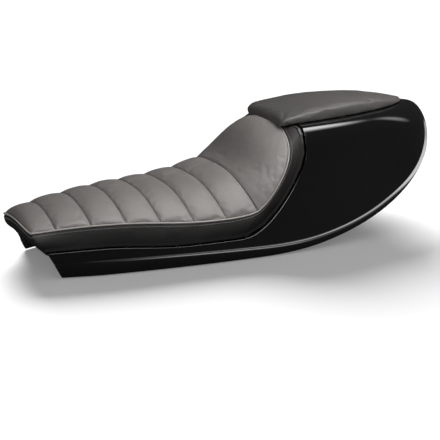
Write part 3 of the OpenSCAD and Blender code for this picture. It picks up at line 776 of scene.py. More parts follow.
def corner(x, z):
    c = crease((x, edge_w(x)), edge_dir(x))
    s = bez(FLANK, flank_at((COWL_TOP_Z - z) / (COWL_TOP_Z - c[2])))
    return on_side(flat_edge(x), c, s)


def seat_foot(u, lift, inset):
    """Right-hand point where the cushion's wall meets the deck, the curved back or the cowl's front."""
    if u <= 1:
        x = mix(DECK_FRONT_X - 1, SCOOP_X, u)
        held = max(x, DECK_FRONT_X)
        c = corner(held, deck_z(x))
        return np.array([x, c[1] - inset - (held - x) * 0.3, deck_z(x) + lift])
    f = u - 1
    if f < SCOOP_SHARE:
        z = mix(DECK_REAR_Z, KNEE_Z, (f / SCOOP_SHARE) ** 1.2)
        n = unit([-1, (front_edge_x(z + 1) - front_edge_x(z - 1)) / 2])
        c = corner(front_edge_x(z), z)
        return np.array([front_edge_x(z) + n[0] * lift, c[1] - inset, z + n[1] * lift])
    t = (f - SCOOP_SHARE) / (1 - SCOOP_SHARE)
    q = flat_edge(COWL_EDGE_X)
    if t < 0.5:
        p = on_side(q, EDGE_C, bez(SHOULDER, 1 - t * 2))
    else:
        p = np.array([q[0], q[1] * (1 - (t - 0.5) * 2), q[2]])
    d = unit(np.array([COWL_EDGE_X, 0, KNEE_Z - 40]) - p)
    y = max(0.6, p[1] - inset * max(0.35, abs(d[1])))
    return np.array([COWL_EDGE_X - lift, y, p[2] - inset * abs(d[2])])


def seam_us(per_channel):
    """Rows of the ribbed panel, crowded towards each cross seam."""
    nose = [(SEAM1_X - COVER_BACK_X) * t for t in np.sin(np.linspace(0, math.pi / 2, 15))[:-1]]
    t = (1 - np.cos(np.linspace(0, math.pi, per_channel + 1))) / 2
    xs = nose + [SEAM1_X - COVER_BACK_X + (c + k) * SEAM_PITCH for c in range(CHANNELS) for k in t[:-1]]
    xs.append(LAST_SEAM_X - COVER_BACK_X)
    return np.array(xs) / (LAST_SEAM_X - COVER_BACK_X)


def groove(u, width=1.3):
    """Depth share of the sewn groove at a row: 1 on a cross seam, fading within the thread's reach."""
    x = u * (LAST_SEAM_X - COVER_BACK_X) - (SEAM1_X - COVER_BACK_X)
    near = x - SEAM_PITCH * min(CHANNELS, max(0, round(x / SEAM_PITCH)))
    return math.exp(-((near / width) ** 2) / 2)


def channel_puff(u):
    """Height of the padding above the sheet at a row; the nose roll is one half channel."""
    x = u * (LAST_SEAM_X - COVER_BACK_X) - (SEAM1_X - COVER_BACK_X)
    if x < 0:
        return 0.55 * CHANNEL_PUFF * (1 - abs(2 * clamp01(-x / (SEAM1_X - COVER_BACK_X)) - 1) ** 2.4)
    t = (x / SEAM_PITCH) % 1.0
    return CHANNEL_PUFF * (1 - abs(2 * t - 1) ** 2.5)


def top_normals(us, vs):
    g = np.array([seat_points(u, vs) for u in us])
    return g, grid_normals(g)


def hump_us(rows):
    return 1 + np.linspace(0, 1, rows + 1) ** 1.05


def cross_vs(half):
    """Places across the cushion, crowded towards the side seams."""
    w = np.linspace(-1, 1, 2 * half + 1)
    return np.sin(np.radians(90 * w))


def edge_fade(vs, reach=0.045):
    """0 at the side seam, 1 on the open top; leather thickness and padding roll down to the seam."""
    d = np.clip((1 - np.abs(vs)) / reach, 0, 1)
    return np.sqrt(np.clip(1 - (1 - d) ** 2, 0, 1))


def ribbed_surface(us, vs):
    g, n = top_normals(us, vs)
    fade = edge_fade(vs)
    side = edge_fade(vs, 0.10)
    out = np.empty_like(g)
    for i, u in enumerate(us):
        depth = groove(u) * 0.9
        body = COVER_T * (0.35 + 0.65 * fade) + channel_puff(u) * side - depth * (0.2 + 0.8 * fade)
        if u < 0.01:
            body = body * (0.35 + 65 * u)
        out[i] = g[i] + n[i] * body[:, None]
    return out


def hump_surface(us, vs):
    g, n = top_normals(us, vs)
    fade = edge_fade(vs)
    out = np.empty_like(g)
    for i, u in enumerate(us):
        t = u - 1
        front = 1 - 0.9 / COVER_T * math.exp(-((t * 115 / 1.3) ** 2) / 2)
        rear = clamp01((1 - t) / 0.02) ** 0.5
        swell = 1.6 * clamp01(t / 0.10) ** 0.5 * clamp01((1 - t) / 0.10) ** 0.5
        body = COVER_T * (0.35 + 0.65 * fade * rear) * front + swell * edge_fade(vs, 0.10)
        out[i] = g[i] + n[i] * body[:, None]
    return out


def wrinkle(points, normals, weight, scale, height, seed):
    """Soft dents of hand-stretched leather; weight says where they show."""
    out = points.copy()
    for i in range(points.shape[0]):
        for j in range(points.shape[1]):
            if weight[i][j] > 0.01:
                q = Vector(points[i, j] * scale) + Vector((seed, 0, 0))
                out[i, j] += normals[i, j] * noise.fractal(q, 0.6, 2.0, 3) * height * weight[i][j]
    return out


def cloth(obj, pinned, pressure, growth, cap):
    """Fills a pinned leather sheet with air for 20 frames, and keeps the shape within cap millimetres."""
    rest = np.array([v.co[:] for v in obj.data.vertices])
    group = obj.vertex_groups.new(name="sewn")
    for index, weight in enumerate(pinned):
        if weight > 0:
            group.add([index], float(weight), "REPLACE")
    m = add_modifier(obj, "CLOTH")
    s = m.settings
    s.quality = 6
    s.mass = 0.4
    s.tension_stiffness = s.compression_stiffness = 25
    s.shear_stiffness = 12
    s.bending_stiffness = 2.5
    s.air_damping = 3
    s.vertex_group_mass = "sewn"
    s.shrink_min = -growth
    s.use_pressure = True
    s.uniform_pressure_force = pressure
    s.effector_weights.gravity = 0
    m.collision_settings.use_self_collision = False
    scene = bpy.context.scene
    m.point_cache.frame_start, m.point_cache.frame_end = 1, 20
    for f in range(1, 21):
        scene.frame_set(f)
        bpy.context.view_layer.update()
    mesh = obj.evaluated_get(bpy.context.evaluated_depsgraph_get()).to_mesh()
    moved = np.array([v.co[:] for v in mesh.vertices])
    obj.modifiers.clear()
    scene.frame_set(1)
    step = moved - rest
    far = np.linalg.norm(step, axis=1, keepdims=True)
    limit = cap * MM
    step *= np.where(far > 1e-9, limit * np.tanh(far / limit) / np.maximum(far, 1e-9), 0)
    obj.data.vertices.foreach_set("co", (rest + step).astype(np.float32).ravel())
    obj.data.update()


# Loop round the cushion: right side forward, across the nose, left side back
def seat_loop():
    us = list(hump_us(70)[::-1]) + list(seam_us(24)[::-1])[1:]
    vs = list(cross_vs(30))[::-1]
    right = [(u, 1.0) for u in us]
    front = [(0.0, v) for v in vs[1:-1]]
    left = [(u, -1.0) for u in us[::-1]]
    return right + front + left


def foot_pt(u, v, lift, inset):
    p = seat_foot(u, lift, inset)
    bow_here = 0.5 * (1 - abs(v) ** NOSE_POW) if u == 0 else 0
    return np.array([p[0] - bow_here, p[1] * v, p[2]])


def smooth_line(points, rounds):
    """Rounds off a line of points, with its ends held."""
    p = np.array(points, float)
    for _ in range(rounds):
        p[1:-1] = p[1:-1] * 0.5 + (p[:-2] + p[2:]) * 0.25
    return p


class Wall:
    """The cushion's wall: seam line, foot line, foot of the board, and outward directions."""

    def __init__(self):
        self.loop = seat_loop()
        inset = SIDE_CLEAR + COVER_T
        self.top = np.array([seat_points(u, np.array([v]))[0] for u, v in self.loop])
        self.low = self.soft_foot(BOARD_GAP + BOARD_T, inset)
        self.base = self.soft_foot(BOARD_GAP, inset)
        both = self.top + self.low
        last = len(both) - 1
        along = np.array([unit(both[min(q + 1, last)] - both[max(q - 1, 0)]) for q in range(last + 1)])
        out = np.cross(self.low - self.top, along)
        out /= np.maximum(np.linalg.norm(out, axis=1, keepdims=True), 1e-9)
        self.out = smooth_line(out, 8)
        self.out /= np.linalg.norm(self.out, axis=1, keepdims=True)
        self.height = np.linalg.norm(self.top - self.low, axis=1)
        self.along = along

    def soft_foot(self, lift, inset):
        """Foot line, rounded where the deck turns up into the cowl and nearly sharp at the nose."""
        raw = [foot_pt(u, v, lift, inset) for u, v in self.loop]
        soft = smooth_line(raw, 70)
        crisp = smooth_line(raw, 3)
        share = np.array([ramp(u, 0.25, 0.6) for u, _ in self.loop])[:, None]
        return crisp * (1 - share) + soft * share

    def point(self, q, t):
        front = 1 - ramp(self.loop[q][0], 0.0, 0.14)
        bulge = self.height[q] * (WALL_BULGE + NOSE_BULGE * front) * 4 * t * (1 - t)
        return mix(self.top[q], self.low[q], t) + self.out[q] * bulge


def make_band(wall):
    """Side leather: from under the piping down round the board's edge, with its hem turned in."""
    stops = [0.0, 0.03, 0.07, 0.12, 0.18, 0.26, 0.36, 0.47, 0.58, 0.69, 0.79, 0.87, 0.93, 0.97, 1.0]
    rows = []
    for q in range(len(wall.loop)):
        n = wall.out[q]
        down = unit(wall.base[q] - wall.low[q])
        turn = unit(n - down * float(np.dot(n, down)))
        ring = [wall.point(q, t) + n * (0.3 + (COVER_T - 0.3) * min(1, t / 0.07)) for t in stops]
        base = wall.base[q]
        corner_r = COVER_T
        ring += [base + n * corner_r - down * 0.6]
        ring += [base + n * corner_r * 0.92 + down * 0.9, base + n * 0.5 + down * corner_r]
        ring += [base - turn * d + down * corner_r for d in (1.5, 4, 7, 10)]
        ring += [base - turn * HEM_W + down * corner_r, base - turn * HEM_W + down * 0.1]
        rows.append(ring)
    g = np.array(rows)
    n = grid_normals(g)
    weight = np.zeros(g.shape[:2])
    for q in range(g.shape[0]):
        for k, t in enumerate(stops):
            weight[q, k] = math.sin(math.pi * t) ** 0.7
    g = wrinkle(g, n, weight, 0.022, 0.9, 4.0)
    obj = grid_object("side_leather_band", g)
    add_modifier(obj, "SUBSURF", levels=1, render_levels=1)
    apply_modifiers(obj)
    # The band's colour is painted shade of the top's leather
    obj.data.materials.append(leather("side_leather", SIDE_PAINTED_SHADE_COLOR, 0.58, gloss=0.30))
    return finish_piece(obj, "side_leather", "side_band")


def tube(points, radius, sides=12, profile=None):
    """Verts and faces of a closed-ended tube along a line of points."""
    p = np.array(points, float)
    n = len(p)
    along = np.array([unit(p[min(i + 1, n - 1)] - p[max(i - 1, 0)]) for i in range(n)])
    ref = np.array([0.0, 0, 1])
    if abs(float(np.dot(along[0], ref))) > 0.9:
        ref = np.array([1.0, 0, 0])
    verts = []
    for i in range(n):
        side = np.cross(along[i], ref)
        if np.linalg.norm(side) < 1e-3:
            side = np.array([0.0, 1, 0])
        side = unit(side)
        ref = np.cross(side, along[i])
        r = radius * (profile[i] if profile is not None else 1)
        for k in range(sides):
            a = 2 * math.pi * k / sides
            verts.append(p[i] + r * (side * math.cos(a) + ref * math.sin(a)))
    faces = grid_faces(n, sides, wrap=True)
    faces.append(tuple(range(sides))[::-1])
    faces.append(tuple((n - 1) * sides + k for k in range(sides)))
    return verts, faces


def join_parts(name, parts):
    """One object from several lists of points and faces."""
    verts, faces = [], []
    for v, f in parts:
        base = len(verts)
        verts += list(v)
        faces += [tuple(base + i for i in face) for face in f]
    mesh = bpy.data.meshes.new(name)
    mesh.from_pydata([tuple(float(c) * MM for c in v) for v in verts], [], faces)
    obj = bpy.data.objects.new(name, mesh)
    bpy.context.scene.collection.objects.link(obj)
    for polygon in mesh.polygons:
        polygon.use_smooth = True
    return obj


def make_welt(wall):
    ups = []
    for q, (u, v) in enumerate(wall.loop):
        if u == 0:
            inner = seat_points(0.02, np.array([v]))[0]
        else:
            inner = seat_points(u, np.array([v * 0.96]))[0]
        rise = unit(np.cross(wall.along[q], unit(inner - wall.top[q])))
        ups.append(-rise if np.dot(rise, wall.out[q] + np.array([0, 0, 0.6])) < 0 else rise)
    ups = smooth_line(ups, 4)
    line = []
    for q in range(len(wall.loop)):
        n = unit(wall.out[q] + unit(ups[q]))
        line.append(wall.top[q] + n * WELT_R * 1.55)
    line = smooth_line(line, 2)
    obj = join_parts("seat_piping", [tube(line, WELT_R, 12)])
    # The piping's colour is a painted highlight
    obj.data.materials.append(leather("piping", PIPING_PAINTED_HIGHLIGHT_COLOR, 0.42, grain=0.00006))
    return finish_piece(obj, "piping", "seat_welt")


def stitch_line(points, normals, pitch, share, radius, sink):
    """Short thread pieces along a line, each with its ends sunk into the leather."""
    p = np.array(points, float)
    nrm = np.array(normals, float)
    gaps = np.linalg.norm(p[1:] - p[:-1], axis=1)
    run = np.concatenate([[0], np.cumsum(gaps)])
    count = max(1, int(run[-1] / pitch))
    parts = []

    def at(s):
        i = min(len(run) - 2, max(0, int(np.searchsorted(run, s) - 1)))
        t = (s - run[i]) / max(run[i + 1] - run[i], 1e-9)
        return mix(p[i], p[i + 1], t), unit(mix(nrm[i], nrm[i + 1], t))

    for k in range(count):
        start = (k + 0.5) * run[-1] / count - pitch * share / 2
        line, profile = [], []
        for t in (0.0, 0.12, 0.3, 0.5, 0.7, 0.88, 1.0):
            c, n = at(start + pitch * share * t)
            line.append(c + n * (sink * (4 * t * (1 - t)) - sink * 0.55))
            profile.append(0.55 + 0.45 * math.sin(math.pi * t))
        parts.append(tube(line, radius, 6, profile))
    return parts


def make_cross_stitches():
    """Thread along every cross seam, sunk in its groove."""
    vs = cross_vs(90)[3:-3]
    parts = []
    for c in range(CHANNELS + 1):
        u = (SEAM1_X - COVER_BACK_X + c * SEAM_PITCH) / (LAST_SEAM_X - COVER_BACK_X)
        g, n = top_normals([max(u - 0.004, 0), u, min(u + 0.004, 1)], vs)
        fade = edge_fade(vs)
        lift = COVER_T * (0.35 + 0.65 * fade) - 0.9 * (0.2 + 0.8 * fade) + 0.34
        parts += stitch_line(g[1] + n[1] * lift[:, None], n[1], 4.4, 0.62, 0.48, 0.6)
    obj = join_parts("cross_seam_thread", parts)
    obj.data.materials.append(thread_material("dark_thread", THREAD_COLOR))
    return finish_piece(obj, "thread")


def make_top_stitches(wall):
    """Topstitching on the side leather, just outside the piping."""
    line, normals = [], []
    for q in range(len(wall.loop)):
        t = 4.6 / max(wall.height[q], 5)
        line.append(wall.point(q, t) + wall.out[q] * (COVER_T + 0.12))
        normals.append(wall.out[q])
    parts = stitch_line(smooth_line(line, 2)[4:-4], normals[4:-4], 4.0, 0.60, 0.45, 0.55)
    obj = join_parts("side_topstitch", parts)
    obj.data.materials.append(thread_material("grey_thread", TOPSTITCH_COLOR))
    return finish_piece(obj, "thread")


def sheet_object(name, g, material):
    """Leather panel from the grid of its outer face, with its material."""
    obj = grid_object(name, g)
    obj.data.materials.append(material)
    return obj


def thicken(obj, thickness):
    add_modifier(obj, "SUBSURF", levels=1, render_levels=1)
    add_modifier(obj, "SOLIDIFY", thickness=thickness * MM, offset=-1.0, use_even_offset=False)
    return apply_modifiers(obj)


def make_ribbed():
    us, vs = seam_us(24), cross_vs(36)
    g = ribbed_surface(us, vs)
    n = grid_normals(g)
    weight = np.zeros(g.shape[:2])
    for i, u in enumerate(us):
        near_seam = groove(u, 7.0)
        weight[i] = near_seam * (1 - groove(u, 1.2)) * edge_fade(vs, 0.15)
    g = wrinkle(g, n, weight, 0.11, 0.45, 1.0)
    # The top panel's colour carries painted light from above
    obj = sheet_object("ribbed_leather_top", g, leather("top_leather", TOP_PAINTED_LIGHT_COLOR, TOP_ROUGH))
    pins = []
    for u in us:
        hold = groove(u, 2.0)
        for v in vs:
            edge = 1.0 if abs(v) > 0.993 or u < 0.004 else 0.0
            pins.append(max(hold if hold > 0.25 else 0.0, edge))
    cloth(obj, pins, 4.0, 0.007, 2.2)
    thicken(obj, COVER_T * 0.8)
    return finish_piece(obj, "top_leather", "ribbed_panel")


def make_hump():
    us, vs = hump_us(70), cross_vs(60)
    g = hump_surface(us, vs)
    n = grid_normals(g)
    fade = edge_fade(vs, 0.12)
    weight = np.array([[clamp01((u - 1) * 9) * clamp01((2 - u) * 9) * s for s in fade] for u in us])
    g = wrinkle(g, n, weight, 0.03, 0.35, 7.0)
    # The hump's colour carries the same painted light from above
    obj = sheet_object("hump_leather_top", g, leather("hump_leather_painted_light", TOP_PAINTED_LIGHT_COLOR, TOP_ROUGH))
    pins = [1.0 if abs(v) > 0.993 or u < 1.008 or u > 1.99 else 0.0 for u in us for v in vs]
    cloth(obj, pins, 4.0, 0.003, 1.6)
    thicken(obj, COVER_T * 0.8)
    return finish_piece(obj, "top_leather", "hump_panel")


# Tail pad
def pad_h(x):
    s = clamp01((x - PAD_FRONT_X) / PAD_LEN)
    if s < PAD_HIGH:
        return mix(PAD_FRONT_H, PAD_CREST_H, sind(90 * s / PAD_HIGH))
    return mix(PAD_CREST_H, PAD_TIP_H, ((s - PAD_HIGH) / (1 - PAD_HIGH)) ** 2.2)


def pad_grid(along, across, inset, lift):
    """Top of the pad, rows from front to tip."""
    rows = []
    reach = PAD_LEN - 2 * inset
    spots = [d for d in PAD_FRONT_ROWS]
    for i in range(along + 1):
        d = reach * sind(90 * min(i / along, 0.985)) ** (2 / PAD_A)
        if d > spots[-1] + 2:
            spots.append(d)
    for d in spots:
        x = PAD_FRONT_X + inset + d
        turn = clamp01(1 - d / PAD_CORNER)
        half = max(pad_half(x) - inset - PAD_CORNER * (1 - math.sqrt(1 - turn * turn)), 1.2)
        row = []
        for j in range(2 * across + 1):
            v = sind(90 * (j - across) / across)
            h = pad_h(x) * (1 - (1 - PAD_EDGE) * abs(v) ** PAD_SECTION)
            h *= 1 - 0.06 * (1 - min(1.0, (x - PAD_FRONT_X) / 6)) ** 2
            row.append([x, half * v, COWL_TOP_Z + max(PAD_MIN_H, h) + lift])
        rows.append(row)
    return np.array(rows)


def loop_of(g):
    """Closed edge of a grid: right side forward, the front leftwards, left side back, the rear."""
    n, m = g.shape[0] - 1, g.shape[1] - 1
    return ([g[i, m] for i in range(n, 0, -1)] + [g[0, j] for j in range(m, -1, -1)]
            + [g[i, 0] for i in range(1, n + 1)] + [g[n, j] for j in range(1, m)])


def make_pad_cover():
    """Leather of the tail pad: top grid, then rings down its side and in under its foot."""
    g = pad_grid(56, 22, 3.6, 0.0)
    loop = np.array(loop_of(g))
    count = len(loop)
    out = np.array([unit(np.cross([0, 0, -1], loop[(q + 1) % count] - loop[q - 1])) for q in range(count)])
    for _ in range(3):
        out = out * 0.5 + (np.roll(out, 1, 0) + np.roll(out, -1, 0)) * 0.25
        out[:, 2] = 0
        out /= np.linalg.norm(out, axis=1, keepdims=True)
    low = COWL_TOP_Z + 0.7
    verts = [tuple(p) for p in g.reshape(-1, 3)]
    faces = grid_faces(g.shape[0], g.shape[1])
    index = {}
    for k, p in enumerate(verts):
        index.setdefault(tuple(np.round(p, 5)), k)
    base_ring = [index[tuple(np.round(p, 5))] for p in loop]
    for push, share in PAD_SIDE_RINGS:
        ring = []
        for q in range(count):
            p = loop[q]
            reach = push if push > 0 else max(push, -0.7 * abs(p[1]) - 1)
            front = max(0.0, -out[q][0]) ** 2
            lead = PAD_NOSE_OUT * front * (math.sin(math.pi * min(share, 0.62)) if push > 0 else 0.4)
            z = mix(p[2], low - PAD_NOSE_DROP * front * (1 if push > 0 else 0), share)
            ring.append((p[0] + out[q][0] * reach - lead, p[1] + out[q][1] * reach, z))
        start = len(verts)
        verts += ring
        for q in range(count):
            a, b = base_ring[q], base_ring[(q + 1) % count]
            faces.append((a, b, start + (q + 1) % count, start + q))
        base_ring = [start + q for q in range(count)]
    obj = mesh_from("tail_pad_cover", verts, faces)
    co = np.array([v.co[:] for v in obj.data.vertices]) / MM
    for v, c in zip(obj.data.vertices, co):
        weight = clamp01((c[2] - low) / 6)
        v.co.z += noise.fractal(Vector(c * 0.03) + Vector((3, 0, 0)), 0.6, 2.0, 3) * 0.6 * weight * MM
    pins = [1.0 if c[2] < low + 1.5 else 0.0 for c in co]
    cloth(obj, pins, PAD_PRESSURE, PAD_GROWTH, PAD_SWELL_CAP)
    add_modifier(obj, "SUBSURF", levels=2, render_levels=2)
    apply_modifiers(obj)
    obj.data.materials.append(leather("pad_leather", PAD_COLOR, 0.46))
    return finish_piece(obj, "pad_leather", "pad_cover")


# Foam under the leather
def capped_faces(rows, cols):
    """Faces of a tube of closed rings, its two ends shut by strips from side to side."""
    faces = grid_faces(rows, cols, wrap=True)
    last = (rows - 1) * cols
    for k in range(cols // 2 - 1):
        faces.append((k, k + 1, cols - 2 - k, cols - 1 - k))
        faces.append((last + k, last + cols - 1 - k, last + cols - 2 - k, last + k + 1))
    return faces


def make_foam():
    """Foam cores of cushion and pad, a leather's thickness or more inside their covers."""
    us = list(np.linspace(FOAM_START_U, 1, 30)) + list(np.linspace(1, FOAM_END_U, 15))[1:]
    vs = cross_vs(10)
    top = np.array([seat_points(u, vs) for u in us]) - np.array([0, 0, 1.2])
    inset = SIDE_CLEAR + COVER_T + FOAM_INSET
    low = np.array([[foot_pt(u, v, BOARD_GAP + BOARD_T + 0.2, inset) for v in vs] for u in us])
    for j in range(len(vs)):
        low[:, j] = smooth_line(low[:, j], 10)
    top[:, :, 1] *= 0.97
    ring = np.concatenate([top, low[:, ::-1]], axis=1)
    faces = capped_faces(ring.shape[0], ring.shape[1])
    seat = mesh_from("seat_foam_core", ring.reshape(-1, 3), faces)
    material = foam_material()
    seat.data.materials.append(material)
    finish_piece(seat, "foam", "seat_foam")
    g = pad_grid(24, 8, 3.4, -COVER_T - 0.4)
    flat = g.copy()
    flat[:, :, 2] = COWL_TOP_Z + PAD_LIFT + 0.1
    g[:, :, 2] = np.maximum(g[:, :, 2], flat[:, :, 2] + 0.5)
    ring = np.concatenate([g, flat[:, ::-1]], axis=1)
    faces = capped_faces(ring.shape[0], ring.shape[1])
    pad = mesh_from("pad_foam_core", ring.reshape(-1, 3), faces)
    pad.data.materials.append(material)
    finish_piece(pad, "foam", "pad_foam")


# Metal fixings, seen from below
def turned(profile, sides, place):
    """Points of a profile of (radius, height) pairs, turned about the vertical axis at place."""
    return [(place[0] + r * cosd(360 * k / sides), place[1] + r * sind(360 * k / sides), place[2] + z)
            for r, z in profile for k in range(sides)]


def ring_faces(rows, sides):
    """Faces of a turned ring: its profile's last point joins the first."""
    faces = grid_faces(rows, sides, wrap=True)
    last = (rows - 1) * sides
    for k in range(sides):
        after = (k + 1) % sides
        faces.append((last + k, last + after, after, k))
    return faces


def lathe(profile, sides, place):
    """Solid of revolution about the vertical axis at place, from (radius, height) pairs."""
    verts = turned(profile, sides, place)
    faces = grid_faces(len(profile), sides, wrap=True)
    faces += [tuple((len(profile) - 1) * sides + k for k in range(sides))[::-1], tuple(range(sides))]
    return verts, faces


def ring_lathe(profile, sides, place):
    """The same for a ring: its profile is a closed loop clear of the axis."""
    return turned(profile, sides, place), ring_faces(len(profile), sides)


def nut_part(place):
    """Hexagon nut with chamfered corners round a threaded bore."""
    sides = 48
    verts = []
    top, low = place[2], place[2] - NUT_H
    rings = [(STUD_R, low + 0.4, 0), (STUD_R + 0.5, low, 0), (NUT_AF / 2 * 0.96, low, 0),
             (NUT_AF, low + 0.9, 1), (NUT_AF, top - 0.3, 1), (NUT_AF / 2 * 0.98, top, 0), (STUD_R, top, 0)]
    for r, z, hexed in rings:
        for k in range(sides):
            a = 360 * k / sides
            radius = r
            if hexed:
                radius = NUT_AF / 2 / cosd((a % 60) - 30)
            verts.append((place[0] + radius * cosd(a), place[1] + radius * sind(a), z))
    return verts, ring_faces(len(rings), sides)


def stud_part(place, gap):
    """Stud with a flat head above the shell and a rolled thread below it."""
    head_z = gap
    profile = [(STUD_HEAD_R - 0.3, head_z), (STUD_HEAD_R, head_z - 0.3), (STUD_HEAD_R, head_z - 1.2),
               (STUD_HEAD_R - 0.3, head_z - 1.5), (STUD_R + 0.4, head_z - 1.5), (STUD_R, head_z - 1.9)]
    z, reach = -SHELL_T, -(SHELL_T + WASHER_T + NUT_H + STUD_TAIL)
    profile.append((STUD_R, z))
    while z - 1.0 > reach + 0.6:
        profile += [(STUD_R, z - 0.2), (STUD_R - 0.45, z - 0.5), (STUD_R, z - 0.8)]
        z -= 1.0
    profile += [(STUD_R - 0.1, reach + 0.5), (STUD_R - 0.6, reach)]
    return lathe(profile, 32, place)


def make_fixings():
    """Studs, washers and nuts of cushion and pad, and the frame's bushes."""
    metal = zinc()
    seat = [(x, s * 34, deck_z(x)) for x in (DECK_FRONT_X + 55, COWL_FOOT_X - 85) for s in (-1, 1)]
    pad = [(PAD_FRONT_X + s * PAD_LEN, 0, COWL_TOP_Z) for s in (0.24, 0.64)]
    under = -SHELL_T - WASHER_T
    washer = [(STUD_R + 0.4, -SHELL_T), (STUD_R + 0.4, under), (WASHER_R - 0.25, under),
              (WASHER_R, under + 0.25), (WASHER_R, -SHELL_T - 0.15), (WASHER_R - 0.15, -SHELL_T)]
    for prefix, places, gap in (("seat", seat, BOARD_GAP), ("pad", pad, PAD_GAP)):
        studs = join_parts(prefix + "_stud_set", [stud_part(p, gap) for p in places])
        washers = join_parts(prefix + "_washer_set", [ring_lathe(washer, 48, p) for p in places])
        nuts = join_parts(prefix + "_nut_set", [nut_part((p[0], p[1], p[2] + under)) for p in places])
        for obj, node in ((studs, "_studs"), (washers, "_washers"), (nuts, "_nuts")):
            tidy_hard(obj, metal)
            finish_piece(obj, "zinc_steel", prefix + node)
    bushes = []
    for x, y in ((DECK_FRONT_X + 24, 40), (COWL_FOOT_X - 44, 62)):
        for s in (-1, 1):
            r, f, length = BUSH_BORE_R + 4, BUSH_BORE_R + 9, BUSH_LEN
            profile = [(BUSH_BORE_R, 0), (BUSH_BORE_R, -length + 0.7), (BUSH_BORE_R + 0.7, -length),
                       (r - 0.7, -length), (r, -length + 0.7), (r, -2.3), (r + 0.4, -2),
                       (f - 0.4, -2), (f, -1.6), (f, 0)]
            bushes.append(ring_lathe(profile, 48, (x, s * y, deck_z(x) - SHELL_T)))
    obj = tidy_hard(join_parts("frame_bush_set", bushes), metal)
    finish_piece(obj, "zinc_steel", "frame_bushes")


def tidy_hard(obj, material):
    """Outward normals, flat shading across sharp edges and the metal's finish."""
    bm = bmesh.new()
    bm.from_mesh(obj.data)
    bmesh.ops.recalc_face_normals(bm, faces=bm.faces)
    for e in bm.edges:
        if len(e.link_faces) == 2 and e.calc_face_angle(0) > math.radians(28):
            e.smooth = False
    bm.to_mesh(obj.data)
    bm.free()
    obj.data.materials.append(material)
    return obj


def finish_cad_nodes():
    """Finishes for the simple hard pieces that are shown as they were built."""
    board = plain_dark("base_plastic", (0.022, 0.022, 0.023), 0.5, 300)
    rubber = plain_dark("spacer_rubber", (0.016, 0.016, 0.016), 0.8, 500)
    steel = zinc()
    for nodes, material, slot in ((("seat_board", "pad_board"), board, "base_board"),
                                  (("seat_spacers", "pad_spacers"), rubber, "rubber_spacer"),
                                  (("seat_staples", "pad_staples"), steel, "zinc_steel")):
        for name in nodes:
            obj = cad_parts[name]
            obj.data.materials.clear()
            obj.data.materials.append(material)


# Studio
def emitter(name, gray):
    """Surface that shows one even grey, whatever light falls on it."""
    material = bpy.data.materials.new(name)
    material.use_nodes = True
    tree = material.node_tree
    tree.nodes.clear()
    out = tree.nodes.new("ShaderNodeOutputMaterial")
    light = tree.nodes.new("ShaderNodeEmission")
    light.inputs["Color"].default_value = (gray, gray, gray, 1)
    tree.links.new(light.outputs[0], out.inputs["Surface"])
    return material


def area_light(name, center, target, size, power):
    data = bpy.data.lights.new(name, "AREA")
    data.shape = "RECTANGLE"
    data.size, data.size_y = size
    data.energy = power
    obj = bpy.data.objects.new(name, data)
    to = (Vector(target) - Vector(center)).normalized()
    obj.matrix_world = Matrix.Translation(center) @ to.to_track_quat("-Z", "Y").to_matrix().to_4x4()
    bpy.context.scene.collection.objects.link(obj)
    return obj


def sun_light(name, come_from, spread, strength):
    """Even light over the whole floor, soft by its spread in degrees."""
    data = bpy.data.lights.new(name, "SUN")
    data.angle = math.radians(spread)
    data.energy = strength
    obj = bpy.data.objects.new(name, data)
    obj.matrix_world = (-Vector(come_from)).to_track_quat("-Z", "Y").to_matrix().to_4x4()
    bpy.context.scene.collection.objects.link(obj)
    return obj


def seen_directly(tree):
    """1 for rays that see the studio straight on, in a mirror or through glass; 0 for light that bounces."""
    path = tree.nodes.new("ShaderNodeLightPath")
    total = path.outputs["Is Camera Ray"]
    for name in ("Is Glossy Ray", "Is Transmission Ray"):
        add = tree.nodes.new("ShaderNodeMath")
        add.operation = "MAXIMUM"
        tree.links.new(total, add.inputs[0])
        tree.links.new(path.outputs[name], add.inputs[1])
        total = add.outputs[0]
    return total


def make_floor():
    """Pale seamless floor: white where it is lit, grey in the object's shadow."""
    mesh = bpy.data.meshes.new("studio_floor")
    r = FLOOR_HALF
    mesh.from_pydata([(-r, -r, 0), (r, -r, 0), (r, r, 0), (-r, r, 0)], [], [(0, 1, 2, 3)])
    obj = bpy.data.objects.new("studio_floor", mesh)
    obj.location.z = FLOOR_Z
    bpy.context.scene.collection.objects.link(obj)
    material = bpy.data.materials.new("studio_floor")
    material.use_nodes = True
    tree = material.node_tree
    bsdf = tree.nodes["Principled BSDF"]
    bsdf.inputs["Base Color"].default_value = (*FLOOR_COLOR, 1)
    bsdf.inputs["Roughness"].default_value = 1.0
    bsdf.inputs["Specular IOR Level"].default_value = 0.0
    glow = tree.nodes.new("ShaderNodeEmission")
    glow.inputs["Strength"].default_value = FLOOR_GLOW
    add = tree.nodes.new("ShaderNodeAddShader")
    swap = tree.nodes.new("ShaderNodeMixShader")
    tree.links.new(bsdf.outputs[0], add.inputs[0])
    tree.links.new(glow.outputs[0], add.inputs[1])
    tree.links.new(seen_directly(tree), swap.inputs["Fac"])
    tree.links.new(bsdf.outputs[0], swap.inputs[1])
    tree.links.new(add.outputs[0], swap.inputs[2])
    tree.links.new(swap.outputs[0], tree.nodes["Material Output"].inputs["Surface"])
    mesh.materials.append(material)
    return obj


